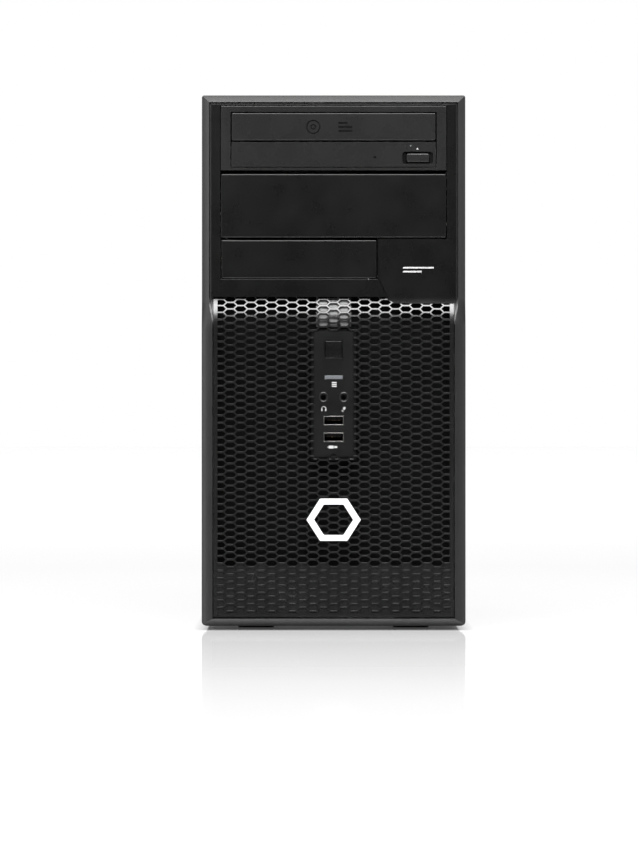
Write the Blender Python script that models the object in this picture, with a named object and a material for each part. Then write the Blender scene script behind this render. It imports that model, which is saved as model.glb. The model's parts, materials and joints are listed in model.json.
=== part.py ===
"""Desktop computer tower: steel case, snap-on plastic front, drives, power supply, board and cooling.

Metres, +Z up. The origin is on the floor under the middle of the case. The front faces -Y, the removable
side panel is on -X and the motherboard hangs on the +X wall.
"""

import math

import bmesh
import bpy
from mathutils import Matrix, Vector

MM = 0.001

# Driving dimensions of the whole case.
WIDTH = 175 * MM
HEIGHT = 354.8 * MM
DEPTH = 419 * MM
GAP = 0.3 * MM
SHEET = 1.0 * MM
HALF_WIDTH = WIDTH / 2
FRONT = -DEPTH / 2
BACK = DEPTH / 2

# Chassis planes.
FLOOR_LOW = 6 * MM
FLOOR_HIGH = FLOOR_LOW + SHEET
TOP_HIGH = 353.4 * MM
TOP_LOW = TOP_HIGH - SHEET
CHASSIS_FRONT = -175 * MM
REAR_OUTER = 200 * MM
REAR_INNER = REAR_OUTER - SHEET
PANEL_OUTER = HALF_WIDTH - GAP
PANEL_INNER = PANEL_OUTER - SHEET
CHASSIS_HALF = PANEL_INNER - GAP
TRAY_X = 79 * MM

# Front bezel.
BEZEL_LOW = 2.6 * MM
BEZEL_BACK = CHASSIS_FRONT - GAP
BEZEL_WALL = 2.6 * MM
UPPER_FACE = -203.5 * MM
SHOULDER_LOW = 200 * MM
SHOULDER_HIGH = 220 * MM
LIP = 220.8 * MM
RIM_BEVEL = 2.4 * MM

# Drive bays, as openings of the upper bezel.
BAY_HALF = 75 * MM
ODD_LOW = 304.7 * MM
ODD_HIGH = 347.6 * MM
BAY2_LOW = 259.9 * MM
BAY2_HIGH = 302.7 * MM
BAY3_LOW = 232.8 * MM
BAY3_HIGH = 258.8 * MM
BAY3_LEFT = -74.7 * MM
BAY3_RIGHT = 28.8 * MM
COVER_FACE = UPPER_FACE - 0.4 * MM
COVER_BACK = COVER_FACE + 3.5 * MM

# Grille and the connector panel in it.
GRILLE_HALF = 79.7 * MM
GRILLE_LOW = 8.6 * MM
GRILLE_FACE = FRONT + 1.2 * MM
GRILLE_THICK = 2.2 * MM
GRILLE_TUCK = -200.5 * MM
IO_HALF = 13 * MM
IO_LOW = 114.9 * MM
IO_HIGH = 197.6 * MM
IO_FACE = FRONT + 0.7 * MM
IO_THICK = 3 * MM
IO_BOARD = -193.5 * MM
BOARD_THICK = 1.6 * MM
BUTTON_Z = 185.9 * MM
BUTTON_HALF = 5.6 * MM
LIGHT_Z = 167.4 * MM
JACK_Z = 154.3 * MM
JACK_X = 6.75 * MM
USB_HALF = (6.6 * MM, 2.95 * MM)
USB_ROWS = (138.75 * MM, 127.7 * MM)

# Optical drive.
ODD_HALF = 73 * MM
ODD_BODY_LOW = 305.5 * MM
ODD_BODY_HIGH = 346.8 * MM
ODD_BODY_FRONT = -199.6 * MM
ODD_BODY_BACK = -30 * MM
DOOR_HALF = 67.8 * MM
DOOR_LOW = 324.6 * MM
DOOR_HIGH = 342.9 * MM
PANEL_LOW = 307.1 * MM
PANEL_HIGH = 323.6 * MM
DOOR_THICK = 3 * MM
DISC_Y = -132.5 * MM
DISC_RADIUS = 60.4 * MM
TRAY_LOW = 327 * MM
TRAY_HIGH = 332.6 * MM
SLOT_HALF = 18 * MM

# Power supply.
PSU_HALF = 75 * MM
PSU_LOW = 262.5 * MM
PSU_HIGH = 348.5 * MM
PSU_BACK = REAR_INNER - GAP
PSU_FRONT = PSU_BACK - 140 * MM
PSU_FAN_X = -28 * MM
PSU_FAN_Z = 305.5 * MM
PSU_FAN_RADIUS = 38 * MM
INLET_X = 46 * MM
INLET_Z = 288 * MM
SWITCH_Z = 324 * MM

# Motherboard: 244 mm square, on standoffs.
BOARD_SIZE = 244 * MM
BOARD_LOW = 14 * MM
BOARD_HIGH = BOARD_LOW + BOARD_SIZE
BOARD_BACK = 196.5 * MM
BOARD_FRONT = BOARD_BACK - BOARD_SIZE
BOARD_X = 72.7 * MM
BOARD_FACE = BOARD_X - BOARD_THICK
CPU_Y = 92 * MM
CPU_Z = 190 * MM
SLOT_PITCH = 20.32 * MM
SLOT_TOP_Z = 81.6 * MM
PORTS_LOW = 94 * MM
PORTS_HIGH = 251.5 * MM
PORTS_LEFT = 27.5 * MM
PORTS_RIGHT = 71 * MM

# Rear fan: 92 mm square, 25 mm thick.
FAN_SIZE = 92 * MM
FAN_THICK = 25 * MM
FAN_X = -31 * MM
FAN_Z = 192 * MM
FAN_BORE = 44 * MM

# Hard disk in its cage.
HDD_SIZE = (101.6 * MM, 147 * MM, 26.1 * MM)
HDD_X = -22.95 * MM
HDD_FRONT = -160 * MM
HDD_LOW = 204 * MM
CAGE3_LOW = 201 * MM

FOOT_X = 52 * MM
FOOT_Y = (-158 * MM, 166 * MM)
FOOT_HALF = 13 * MM

# Finishes: base colour (linear), roughness, metallic.
FINISHES = {
    "black_satin": ((0.045, 0.045, 0.048), 0.34, 0.0),
    "black_matt": ((0.018, 0.018, 0.019), 0.6, 0.0),
    "zinc_steel": ((0.48, 0.48, 0.47), 0.36, 0.9),
    "painted_steel": ((0.03, 0.03, 0.032), 0.5, 0.2),
    "bright_steel": ((0.6, 0.6, 0.6), 0.24, 1.0),
    "aluminium": ((0.66, 0.66, 0.67), 0.3, 1.0),
    "board_green": ((0.02, 0.09, 0.045), 0.45, 0.0),
    "white_plastic": ((0.8, 0.8, 0.8), 0.35, 0.0),
    "light_lens": ((0.3, 0.32, 0.34), 0.25, 0.0),
    "rubber": ((0.012, 0.012, 0.012), 0.75, 0.0),
    "lead_black": ((0.02, 0.02, 0.02), 0.5, 0.0),
    "lead_red": ((0.35, 0.03, 0.02), 0.45, 0.0),
}


def clear_scene():
    """Removes every object of the startup scene."""
    for obj in list(bpy.data.objects):
        bpy.data.objects.remove(obj, do_unlink=True)


def finish(name):
    """The Principled material of this name, made on first use."""
    material = bpy.data.materials.get(name)
    if material:
        return material
    colour, roughness, metallic = FINISHES[name]
    material = bpy.data.materials.new(name)
    material.use_nodes = True
    shader = material.node_tree.nodes["Principled BSDF"]
    shader.inputs["Base Color"].default_value = (*colour, 1)
    shader.inputs["Roughness"].default_value = roughness
    shader.inputs["Metallic"].default_value = metallic
    return material


def block(bm, low, high):
    """Adds a box between two corners."""
    low = Vector(low)
    high = Vector(high)
    place = Matrix.Translation((low + high) / 2) @ Matrix.Diagonal((*(high - low), 1))
    return bmesh.ops.create_cube(bm, size=1, matrix=place)["verts"]


def rod(bm, start, end, radius, sides=24, end_radius=None):
    """Adds a round rod or cone from one point to another."""
    start = Vector(start)
    way = Vector(end) - start
    turn = Vector((0, 0, 1)).rotation_difference(way).to_matrix().to_4x4()
    place = Matrix.Translation(start + way / 2) @ turn
    bmesh.ops.create_cone(
        bm,
        cap_ends=True,
        segments=sides,
        radius1=radius,
        radius2=radius if end_radius is None else end_radius,
        depth=way.length,
        matrix=place,
    )


def prism(bm, outline, way):
    """Adds a solid: a closed outline of points, extruded along a vector."""
    face = bm.faces.new([bm.verts.new(point) for point in outline])
    walls = bmesh.ops.extrude_face_region(bm, geom=[face])["geom"]
    moved = [item for item in walls if isinstance(item, bmesh.types.BMVert)]
    bmesh.ops.translate(bm, verts=moved, vec=way)


def add_object(name, bm, finish_name, origin=(0, 0, 0), smooth=True):
    """Makes the object from a mesh in world coordinates, with its origin where asked."""
    bmesh.ops.recalc_face_normals(bm, faces=bm.faces)
    bmesh.ops.translate(bm, verts=bm.verts, vec=-Vector(origin))
    mesh = bpy.data.meshes.new(name)
    bm.to_mesh(mesh)
    bm.free()
    mesh.materials.append(finish(finish_name))
    if smooth:
        mesh.shade_smooth()
        mesh.set_sharp_from_angle(angle=math.radians(30))
    obj = bpy.data.objects.new(name, mesh)
    obj.location = origin
    bpy.context.scene.collection.objects.link(obj)
    return obj


def combine(obj, bm, operation):
    """Adds a Boolean of this operation, whose helper is the given mesh in world coordinates."""
    helper = add_object(f"{obj.name}_helper", bm, "black_matt", smooth=False)
    helper.hide_render = True
    helper.display_type = "WIRE"
    modifier = obj.modifiers.new(operation.title(), "BOOLEAN")
    modifier.operation = operation
    modifier.solver = "EXACT"
    modifier.object = helper
    return obj


def cut(obj, bm):
    """Takes a tool mesh away from an object with an exact Boolean."""
    return combine(obj, bm, "DIFFERENCE")


def join(obj, bm):
    """Adds a tool mesh to an object with an exact Boolean."""
    return combine(obj, bm, "UNION")


def box_part(name, low, high, finish_name, origin=(0, 0, 0)):
    """A plain rectangular part, before anything is cut from it."""
    bm = bmesh.new()
    block(bm, low, high)
    return add_object(name, bm, finish_name, origin)


def boxes(*corners):
    """A mesh of separate boxes, each given as its two corners."""
    bm = bmesh.new()
    for low, high in corners:
        block(bm, low, high)
    return bm


# Chassis


def chassis_floor():
    """The bottom sheet that the feet and the walls stand on."""
    low = (-CHASSIS_HALF, CHASSIS_FRONT, FLOOR_LOW)
    high = (CHASSIS_HALF, REAR_OUTER, FLOOR_HIGH)
    box_part("chassis_floor", low, high, "zinc_steel")


def chassis_top():
    """The top sheet."""
    low = (-CHASSIS_HALF, CHASSIS_FRONT, TOP_LOW)
    high = (CHASSIS_HALF, REAR_OUTER, TOP_HIGH)
    box_part("chassis_top", low, high, "painted_steel")


def front_plate():
    """The sheet behind the bezel, open at the bays, behind the grille and at the connector board."""
    low = (-CHASSIS_HALF, CHASSIS_FRONT, FLOOR_HIGH + GAP)
    high = (CHASSIS_HALF, CHASSIS_FRONT + SHEET, TOP_LOW - GAP)
    plate = box_part("front_plate", low, high, "zinc_steel")
    through = (CHASSIS_FRONT - SHEET, CHASSIS_FRONT + 2 * SHEET)
    margin = 2 * MM
    wide_bays = (-BAY_HALF - margin, BAY_HALF + margin, BAY2_LOW - margin, ODD_HIGH + margin)
    small_bay = (BAY3_LEFT - margin, BAY3_RIGHT + margin, CAGE3_LOW - margin, BAY3_HIGH)
    air_inlet = (-66 * MM, 66 * MM, 24 * MM, 190 * MM)
    openings = (wide_bays, small_bay, air_inlet)
    for left, right, low_z, high_z in openings:
        cut(plate, boxes(((left, through[0], low_z), (right, through[1], high_z))))


def rear_panel():
    """The back of the case with its openings for the supply, the ports, the fan and the slots."""
    low = (-CHASSIS_HALF, REAR_INNER, FLOOR_HIGH + GAP)
    high = (CHASSIS_HALF, REAR_OUTER, TOP_LOW - GAP)
    panel = box_part("rear_panel", low, high, "zinc_steel")
    before = REAR_INNER - SHEET
    after = REAR_OUTER + SHEET
    rim = 3.5 * MM
    bm = boxes(
        ((-PSU_HALF + rim, before, PSU_LOW + rim), (PSU_HALF - rim, after, PSU_HIGH - rim)),
        ((PORTS_LEFT - GAP, before, PORTS_LOW - GAP), (PORTS_RIGHT + GAP, after, PORTS_HIGH + GAP)),
    )
    for index in range(4):
        middle = SLOT_TOP_Z - index * SLOT_PITCH
        block(bm, (-32 * MM, before, middle - 6.5 * MM), (66 * MM, after, middle + 6.5 * MM))
    rod(bm, (FAN_X, before, FAN_Z), (FAN_X, after, FAN_Z), FAN_BORE - MM, 32)
    cut(panel, bm)
    reach = FAN_BORE + MM
    for index in range(3):
        thin = 0.1 * MM * (index + 1)
        spoke = boxes(((-reach, REAR_INNER + thin, -1.2 * MM), (reach, REAR_OUTER - thin, 1.2 * MM)))
        turn = Matrix.Rotation(math.radians(60 * index), 4, "Y")
        bmesh.ops.transform(spoke, matrix=Matrix.Translation((FAN_X, 0, FAN_Z)) @ turn, verts=spoke.verts)
        join(panel, spoke)


def motherboard_tray():
    """The sheet that carries the board, with its round standoffs."""
    low = (TRAY_X, CHASSIS_FRONT + 2 * SHEET, FLOOR_HIGH + GAP)
    high = (TRAY_X + SHEET, REAR_INNER - GAP, PSU_LOW - GAP)
    tray = box_part("motherboard_tray", low, high, "zinc_steel")
    bm = bmesh.new()
    inset = 8 * MM
    for y in (BOARD_FRONT + inset, BOARD_FRONT + BOARD_SIZE / 2, BOARD_BACK - 2 * inset):
        for z in (BOARD_LOW + inset, BOARD_LOW + 0.42 * BOARD_SIZE, BOARD_HIGH - inset):
            rod(bm, (BOARD_X + GAP, y, z), (TRAY_X + SHEET / 2, y, z), 3 * MM, 6)
    join(tray, bm)


def right_side_panel():
    """The fixed panel on the motherboard side."""
    low = (PANEL_INNER, CHASSIS_FRONT, FLOOR_LOW)
    high = (PANEL_OUTER, REAR_OUTER, TOP_HIGH)
    box_part("right_side_panel", low, high, "painted_steel")


def left_side_panel():
    """The removable panel: a sheet with a flange folded over the rear panel's edge."""
    low = (-PANEL_OUTER, CHASSIS_FRONT, FLOOR_LOW)
    flange_back = REAR_OUTER + GAP + SHEET
    high = (-PANEL_INNER, flange_back, TOP_HIGH)
    corner = (-PANEL_OUTER, BACK, HEIGHT / 2)
    panel = box_part("left_side_panel", low, high, "painted_steel", origin=corner)
    flange_low = (-PANEL_INNER - SHEET / 2, REAR_OUTER + GAP, FLOOR_LOW)
    join(panel, boxes((flange_low, (-73 * MM, flange_back, TOP_HIGH))))


def thumbscrew(name, z):
    """A captive screw with a knurled head, through the side panel's rear flange."""
    x = -80 * MM
    seat = REAR_OUTER + GAP + SHEET + GAP
    bm = bmesh.new()
    rod(bm, (x, seat, z), (x, BACK, z), 5 * MM, 16)
    add_object(name, bm, "zinc_steel", origin=(x, seat, z))


def drive_cage():
    """Walls and shelf of the two 5.25 inch bays."""
    wall = BAY_HALF + 0.3 * MM
    depth = (CHASSIS_FRONT + SHEET + GAP, -24 * MM)
    low = BAY2_LOW - 0.6 * MM
    high = TOP_LOW - GAP
    cage = box_part(
        "drive_cage", (-wall - SHEET, depth[0], low), (wall + SHEET, depth[1], high), "zinc_steel"
    )
    shelf = low + SHEET
    cut(cage, boxes(((-wall, depth[0] - SHEET, shelf), (wall, depth[1] + SHEET, high - SHEET))))


def hdd_cage():
    """Walls and shelf of the 3.5 inch bays, open at the front, the back and the top."""
    clear = 1 * MM
    left = HDD_X - HDD_SIZE[0] / 2 - clear
    right = HDD_X + HDD_SIZE[0] / 2 + clear
    low = (left - SHEET, CHASSIS_FRONT + SHEET + GAP, CAGE3_LOW)
    high = (right + SHEET, -18 * MM, BAY2_LOW - 0.6 * MM - GAP)
    cage = box_part("hdd_cage", low, high, "zinc_steel")
    inner = boxes(((left, low[1] - SHEET, CAGE3_LOW + SHEET), (right, high[1] + SHEET, high[2] + SHEET)))
    cut(cage, inner)


def hard_disk():
    """The 3.5 inch drive on four short posts."""
    width, depth, height = HDD_SIZE
    low = Vector((HDD_X - width / 2, HDD_FRONT, HDD_LOW))
    disk = box_part("hard_disk", low, low + Vector((width, depth, height)), "aluminium")
    bm = bmesh.new()
    for x in (low.x + 6 * MM, low.x + width - 6 * MM):
        for y in (low.y + 20 * MM, low.y + depth - 20 * MM):
            rod(bm, (x, y, CAGE3_LOW + SHEET + GAP), (x, y, HDD_LOW + MM), 2.5 * MM, 8)
    join(disk, bm)


def slot_covers():
    """The blank plates over the unused expansion slots."""
    for index in range(4):
        middle = SLOT_TOP_Z - index * SLOT_PITCH
        low = (-38 * MM, REAR_INNER - GAP - SHEET, middle - 9.2 * MM)
        high = (70 * MM, REAR_INNER - GAP, middle + 9.2 * MM)
        box_part(f"slot_cover_{index + 1}", low, high, "zinc_steel")


def feet():
    """Four rubber feet with slanted sides."""
    names = ("front_left", "front_right", "rear_left", "rear_right")
    places = [(x, y) for y in FOOT_Y for x in (-FOOT_X, FOOT_X)]
    for name, (x, y) in zip(names, places):
        bm = bmesh.new()
        low = (x - FOOT_HALF, y - FOOT_HALF, 0)
        verts = block(bm, low, (x + FOOT_HALF, y + FOOT_HALF, FLOOR_LOW - GAP))
        for vert in verts:
            if vert.co.z < MM:
                vert.co.x = x + (vert.co.x - x) * 0.92
                vert.co.y = y + (vert.co.y - y) * 0.92
        add_object(f"foot_{name}", bm, "rubber", smooth=False)


# Front bezel


def bezel_side(inset):
    """The bezel's outline seen from the side, moved inwards by the inset; open towards the back."""
    back = BEZEL_BACK + (SHEET if inset else 0)
    low = BEZEL_LOW + inset
    high = HEIGHT - inset
    points = [(back, low), (FRONT + inset, low)]
    steps = 6
    for step in range(steps + 1):
        share = step / steps
        ease = (1 - math.cos(math.pi * share)) / 2
        y = FRONT + (UPPER_FACE - FRONT) * ease + inset
        points.append((y, SHOULDER_LOW + (SHOULDER_HIGH - SHOULDER_LOW) * share))
    points += [(UPPER_FACE + inset, high), (back, high)]
    return points


def front_bezel():
    """One moulding: the bevelled rim, the upper panel with its bay openings, and the lower frame."""
    bm = bmesh.new()
    prism(bm, [(-HALF_WIDTH, y, z) for y, z in bezel_side(0)], (WIDTH, 0, 0))
    bmesh.ops.recalc_face_normals(bm, faces=bm.faces)
    corners = [edge for edge in bm.edges if is_front_rim(edge)]
    bmesh.ops.bevel(bm, geom=corners, offset=RIM_BEVEL, segments=2, profile=0.6, affect="EDGES")
    bezel = add_object("front_bezel", bm, "black_satin")
    inner = HALF_WIDTH - BEZEL_WALL
    hollow = bmesh.new()
    prism(hollow, [(-inner, y, z) for y, z in bezel_side(BEZEL_WALL)], (2 * inner, 0, 0))
    cut(bezel, hollow)
    out = FRONT - MM
    back = GRILLE_TUCK + MM
    lip_step = 4.3 * MM
    cut(bezel, boxes(((-BAY_HALF - GAP, out, BAY2_LOW - GAP), (BAY_HALF + GAP, back, ODD_HIGH + GAP))))
    cut(bezel, boxes(((BAY3_LEFT - GAP, out, BAY3_LOW - GAP), (BAY3_RIGHT + GAP, back, BAY2_LOW))))
    lower = GRILLE_HALF + GAP
    opening = bmesh.new()
    prism(
        opening,
        [
            (-lower, out, GRILLE_LOW - GAP),
            (lower, out, GRILLE_LOW - GAP),
            (lower, out, LIP - lip_step),
            (40.4 * MM, out, LIP - lip_step),
            (34.8 * MM, out, LIP),
            (-lower, out, LIP),
        ],
        (0, back - out, 0),
    )
    cut(bezel, opening)


def is_front_rim(edge):
    """True for the outer edges of the bezel's face: along its sides, its top and its bottom."""
    first, second = edge.verts
    if min(abs(first.co.y), abs(second.co.y)) < abs(UPPER_FACE) - MM:
        return False
    middle = (first.co + second.co) / 2
    along_side = abs(abs(middle.x) - HALF_WIDTH) < GAP
    across = abs(middle.z - HEIGHT) < GAP or abs(middle.z - BEZEL_LOW) < GAP
    return along_side or (across and abs(middle.x) < GAP)


def grille_side():
    """The grille's face seen from the side: upright, then curving back to tuck under the lip."""
    points = [(GRILLE_FACE, GRILLE_LOW)]
    steps = 8
    start = SHOULDER_LOW - 3 * MM
    rise = 18.5 * MM
    for step in range(steps + 1):
        angle = math.pi / 2 * step / steps
        y = GRILLE_TUCK + (GRILLE_FACE - GRILLE_TUCK) * math.cos(angle)
        points.append((y, start + rise * math.sin(angle)))
    return [*points, (GRILLE_TUCK, LIP + 2 * MM)]


def front_grille():
    """The curved grille plate with the opening for the connector panel."""
    face = grille_side()
    behind = [(y + GRILLE_THICK, z) for y, z in reversed(face)]
    bm = bmesh.new()
    prism(bm, [(-GRILLE_HALF, y, z) for y, z in face + behind], (2 * GRILLE_HALF, 0, 0))
    grille = add_object("front_grille", bm, "black_satin")
    side = IO_HALF + GAP
    cut(grille, boxes(((-side, FRONT, IO_LOW - GAP), (side, GRILLE_TUCK, IO_HIGH + GAP))))


def front_badge():
    """A plain badge: an open six-sided ring, wider than it is high."""
    half_width = 18 * MM
    half_height = 14 * MM
    middle = 73 * MM
    back = GRILLE_FACE - GAP
    badge = bmesh.new()
    hole = bmesh.new()
    for bm, scale, start, end in ((badge, 1, FRONT, back), (hole, 0.6, FRONT - MM, back + MM)):
        outline = [
            (half_width * scale * x, start, middle + half_height * scale * z)
            for x, z in ((-1, 0), (-0.5, -1), (0.5, -1), (1, 0), (0.5, 1), (-0.5, 1))
        ]
        prism(bm, outline, (0, end - start, 0))
    cut(add_object("front_badge", badge, "white_plastic"), hole)


def chamfered_cover(name, left, right, low, high):
    """A blank bay cover whose front edges are slightly bevelled."""
    obj = box_part(name, (left, COVER_FACE, low), (right, COVER_BACK, high), "black_satin")
    bevel = obj.modifiers.new("Bevel", "BEVEL")
    bevel.width = 0.6 * MM
    bevel.segments = 1
    return obj


def bay_covers():
    """The blank covers of the lower wide bay and the small bay."""
    chamfered_cover("bay_cover_525", -BAY_HALF, BAY_HALF, BAY2_LOW, BAY2_HIGH)
    chamfered_cover("bay_cover_35", BAY3_LEFT, BAY3_RIGHT, BAY3_LOW, BAY3_HIGH)


# Front connector panel


def io_panel():
    """The plate in the grille with its openings for the button, the light, the jacks and the USB ports."""
    back = IO_FACE + IO_THICK
    panel = box_part("io_panel", (-IO_HALF, IO_FACE, IO_LOW), (IO_HALF, back, IO_HIGH), "black_matt")
    before = IO_FACE - MM
    after = back + MM
    button = BUTTON_HALF + GAP
    bm = boxes(
        ((-button, before, BUTTON_Z - button), (button, after, BUTTON_Z + button)),
        ((-6.3 * MM, before, LIGHT_Z - 1.5 * MM), (6.3 * MM, after, LIGHT_Z + 1.5 * MM)),
    )
    for z in USB_ROWS:
        reach = (USB_HALF[0] + GAP, USB_HALF[1] + GAP)
        block(bm, (-reach[0], before, z - reach[1]), (reach[0], after, z + reach[1]))
    for x in (-JACK_X, JACK_X):
        rod(bm, (x, before, JACK_Z), (x, after, JACK_Z), 2.9 * MM + GAP, 20)
    cut(panel, bm)


def power_button():
    """A square push button with a slightly dished face and a short stem."""
    low = (-BUTTON_HALF, IO_FACE + 0.3 * MM, BUTTON_Z - BUTTON_HALF)
    high = (BUTTON_HALF, IO_FACE + 5 * MM, BUTTON_Z + BUTTON_HALF)
    button = box_part("power_button", low, high, "black_satin", origin=(0, IO_FACE, BUTTON_Z))
    dish = bmesh.new()
    radius = 60 * MM
    centre = low[1] + 0.35 * MM - radius
    rod(dish, (-1.1 * BUTTON_HALF, centre, BUTTON_Z), (1.1 * BUTTON_HALF, centre, BUTTON_Z), radius, 96)
    cut(button, dish)
    stem = bmesh.new()
    rod(stem, (0, IO_FACE + 4 * MM, BUTTON_Z), (0, IO_BOARD - 4 * MM, BUTTON_Z), 2 * MM, 12)
    join(button, stem)


def status_light():
    """The bar light under the power button."""
    low = (-6 * MM, IO_FACE - 0.2 * MM, LIGHT_Z - 1.2 * MM)
    high = (6 * MM, IO_BOARD - GAP, LIGHT_Z + 1.2 * MM)
    box_part("status_light", low, high, "light_lens")


def usb_port(name, z):
    """A steel shell with the contact tongue on its upper side."""
    half_width, half_height = USB_HALF
    wall = 0.4 * MM
    front = IO_FACE + 0.2 * MM
    back = IO_BOARD - GAP
    shell = box_part(
        name, (-half_width, front, z - half_height), (half_width, back, z + half_height), "bright_steel"
    )
    inner_low = (-half_width + wall, front - MM, z - half_height + wall)
    inner_high = (half_width - wall, back - 1.5 * MM, z + half_height - wall)
    cut(shell, boxes((inner_low, inner_high)))
    tongue = boxes(((-5.2 * MM, front + 2 * MM, z + 0.2 * MM), (5.2 * MM, back - MM, z + 1.9 * MM)))
    join(shell, tongue)


def audio_jack(name, x):
    """A round socket: a flanged sleeve with an open bore."""
    front = IO_FACE + 0.1 * MM
    back = IO_BOARD - GAP
    bm = bmesh.new()
    rod(bm, (x, front, JACK_Z), (x, back, JACK_Z), 2.85 * MM, 20)
    bore = bmesh.new()
    rod(bore, (x, front - MM, JACK_Z), (x, back - 1.2 * MM, JACK_Z), 1.9 * MM, 20)
    cut(add_object(name, bm, "black_matt"), bore)


def front_io_board():
    """The small board behind the front connectors."""
    low = (-12 * MM, IO_BOARD, IO_LOW + 2 * MM)
    high = (12 * MM, IO_BOARD + BOARD_THICK, IO_HIGH - 2 * MM)
    box_part("front_io_board", low, high, "board_green")


# Optical drive


def odd_housing():
    """The drive's steel case, open at the front, with the raised deck that carries the spindle motor."""
    low = Vector((-ODD_HALF, ODD_BODY_FRONT, ODD_BODY_LOW))
    high = Vector((ODD_HALF, ODD_BODY_BACK, ODD_BODY_HIGH))
    housing = box_part("odd_housing", low, high, "zinc_steel")
    wall = Vector((SHEET, SHEET, SHEET))
    inner_low = low + wall - Vector((0, 3 * MM, 0))
    cut(housing, boxes((inner_low, high - wall)))
    deck_low = (-ODD_HALF + SHEET / 2, -186 * MM, ODD_BODY_LOW + SHEET / 2)
    join(housing, boxes((deck_low, (ODD_HALF - SHEET / 2, -44 * MM, 322 * MM))))


def odd_bezel_frame():
    """The drive's front frame around the tray door and the lower panel."""
    low = (-BAY_HALF, COVER_FACE, ODD_LOW)
    high = (BAY_HALF, ODD_BODY_FRONT - GAP, ODD_HIGH)
    frame = box_part("odd_bezel_frame", low, high, "black_satin")
    side = DOOR_HALF + GAP
    before = COVER_FACE - MM
    cut(frame, boxes(((-side, before, PANEL_LOW - GAP), (side, before + 9 * MM, DOOR_HIGH + GAP))))


def odd_lower_panel():
    """The strip under the tray door, with a shallow recess and an opening for the eject button."""
    face = COVER_FACE + 0.3 * MM
    back = face + DOOR_THICK
    low = (-DOOR_HALF, face, PANEL_LOW)
    high = (DOOR_HALF, back, PANEL_HIGH)
    panel = box_part("odd_lower_panel", low, high, "black_satin")
    recess = (45.6 * MM, 66 * MM, 308.9 * MM, 317.2 * MM)
    hole = (48.1 * MM, 63.8 * MM, 310.1 * MM, 316.4 * MM)
    cut(panel, boxes(((recess[0], face - MM, recess[2]), (recess[1], face + 0.8 * MM, recess[3]))))
    cut(panel, boxes(((hole[0], face - MM, hole[2]), (hole[1], back + MM, hole[3]))))


def odd_eject_button():
    """The eject button in the lower panel of the disc drive."""
    face = COVER_FACE + 0.4 * MM
    low = (48.4 * MM, face, 310.4 * MM)
    high = (63.5 * MM, face + 3 * MM, 316.1 * MM)
    box_part("odd_eject_button", low, high, "black_satin", origin=(55.95 * MM, face, 313.25 * MM))


def odd_tray():
    """The sliding tray: a stepped disc recess and a slot that lets it pass the spindle."""
    front = COVER_FACE + 0.1 * MM + DOOR_THICK + GAP
    low = (-64 * MM, front, TRAY_LOW)
    high = (64 * MM, -44.5 * MM, TRAY_HIGH)
    tray = box_part("odd_tray", low, high, "black_matt", origin=(0, DISC_Y, TRAY_LOW))
    for radius, depth in ((DISC_RADIUS, 2.4 * MM), (40.5 * MM, 3.6 * MM)):
        recess = bmesh.new()
        rod(recess, (0, DISC_Y, TRAY_HIGH - depth), (0, DISC_Y, TRAY_HIGH + MM), radius, 48)
        cut(tray, recess)
    slot = boxes(((-SLOT_HALF, DISC_Y - 20 * MM, TRAY_LOW - MM), (SLOT_HALF, BACK, TRAY_HIGH + MM)))
    cut(tray, slot)


def odd_tray_front():
    """The door that is fixed to the front of the disc tray."""
    face = COVER_FACE + 0.1 * MM
    low = (-DOOR_HALF, face, DOOR_LOW)
    high = (DOOR_HALF, face + DOOR_THICK, DOOR_HIGH)
    door = box_part("odd_tray_front", low, high, "black_satin", origin=(0, face, TRAY_LOW))
    bevel = door.modifiers.new("Bevel", "BEVEL")
    bevel.width = 0.5 * MM
    bevel.segments = 1


def odd_turntable():
    """The spindle's turntable with its centring cone."""
    bm = bmesh.new()
    rod(bm, (0, DISC_Y, 322.4 * MM), (0, DISC_Y, 329.4 * MM), 14 * MM, 32)
    add_object("odd_turntable", bm, "black_matt", origin=(0, DISC_Y, 322.4 * MM))
    cone = bmesh.new()
    rod(cone, (0, DISC_Y, 329 * MM), (0, DISC_Y, 331.6 * MM), 7.4 * MM, 24, 5.5 * MM)
    join(bpy.data.objects["odd_turntable"], cone)


# Fans


def fan_rotor(name, centre, axis, radius, hub, depth, blades=7):
    """A hub with twisted blades, turning about the axis through its centre."""
    turn = Vector((0, 0, 1)).rotation_difference(Vector(axis)).to_matrix().to_4x4()
    place = Matrix.Translation(centre) @ turn
    bm = bmesh.new()
    rod(bm, (0, 0, -depth / 2), (0, 0, depth / 2), hub, 28)
    bmesh.ops.transform(bm, matrix=place, verts=bm.verts)
    rotor = add_object(name, bm, "black_matt", origin=centre)
    fins = bmesh.new()
    thick = 1.4 * MM
    for index in range(blades):
        spin = Matrix.Rotation(2 * math.pi * index / blades, 4, "Z")
        rings = []
        for share in (0, 0.5, 1):
            reach = hub - 2 * MM + (radius - hub + 2 * MM) * share
            tilt = math.radians(52 - 22 * share)
            chord = depth * (0.7 + 0.25 * share) / 2 / math.cos(tilt) * 0.62
            along = Vector((0, math.cos(tilt) * chord * 1.5, math.sin(tilt) * chord))
            lift = Vector((0, -math.sin(tilt), math.cos(tilt))) * thick / 2
            middle = Vector((reach, 0, 0))
            corners = (-along - lift, along - lift, along + lift, -along + lift)
            rings.append([fins.verts.new(spin @ (middle + corner)) for corner in corners])
        fins.faces.new(rings[0])
        fins.faces.new(rings[-1])
        for inner, outer in zip(rings, rings[1:]):
            for side in range(4):
                after = (side + 1) % 4
                fins.faces.new((inner[side], inner[after], outer[after], outer[side]))
    bmesh.ops.transform(fins, matrix=place, verts=fins.verts)
    join(rotor, fins)


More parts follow.
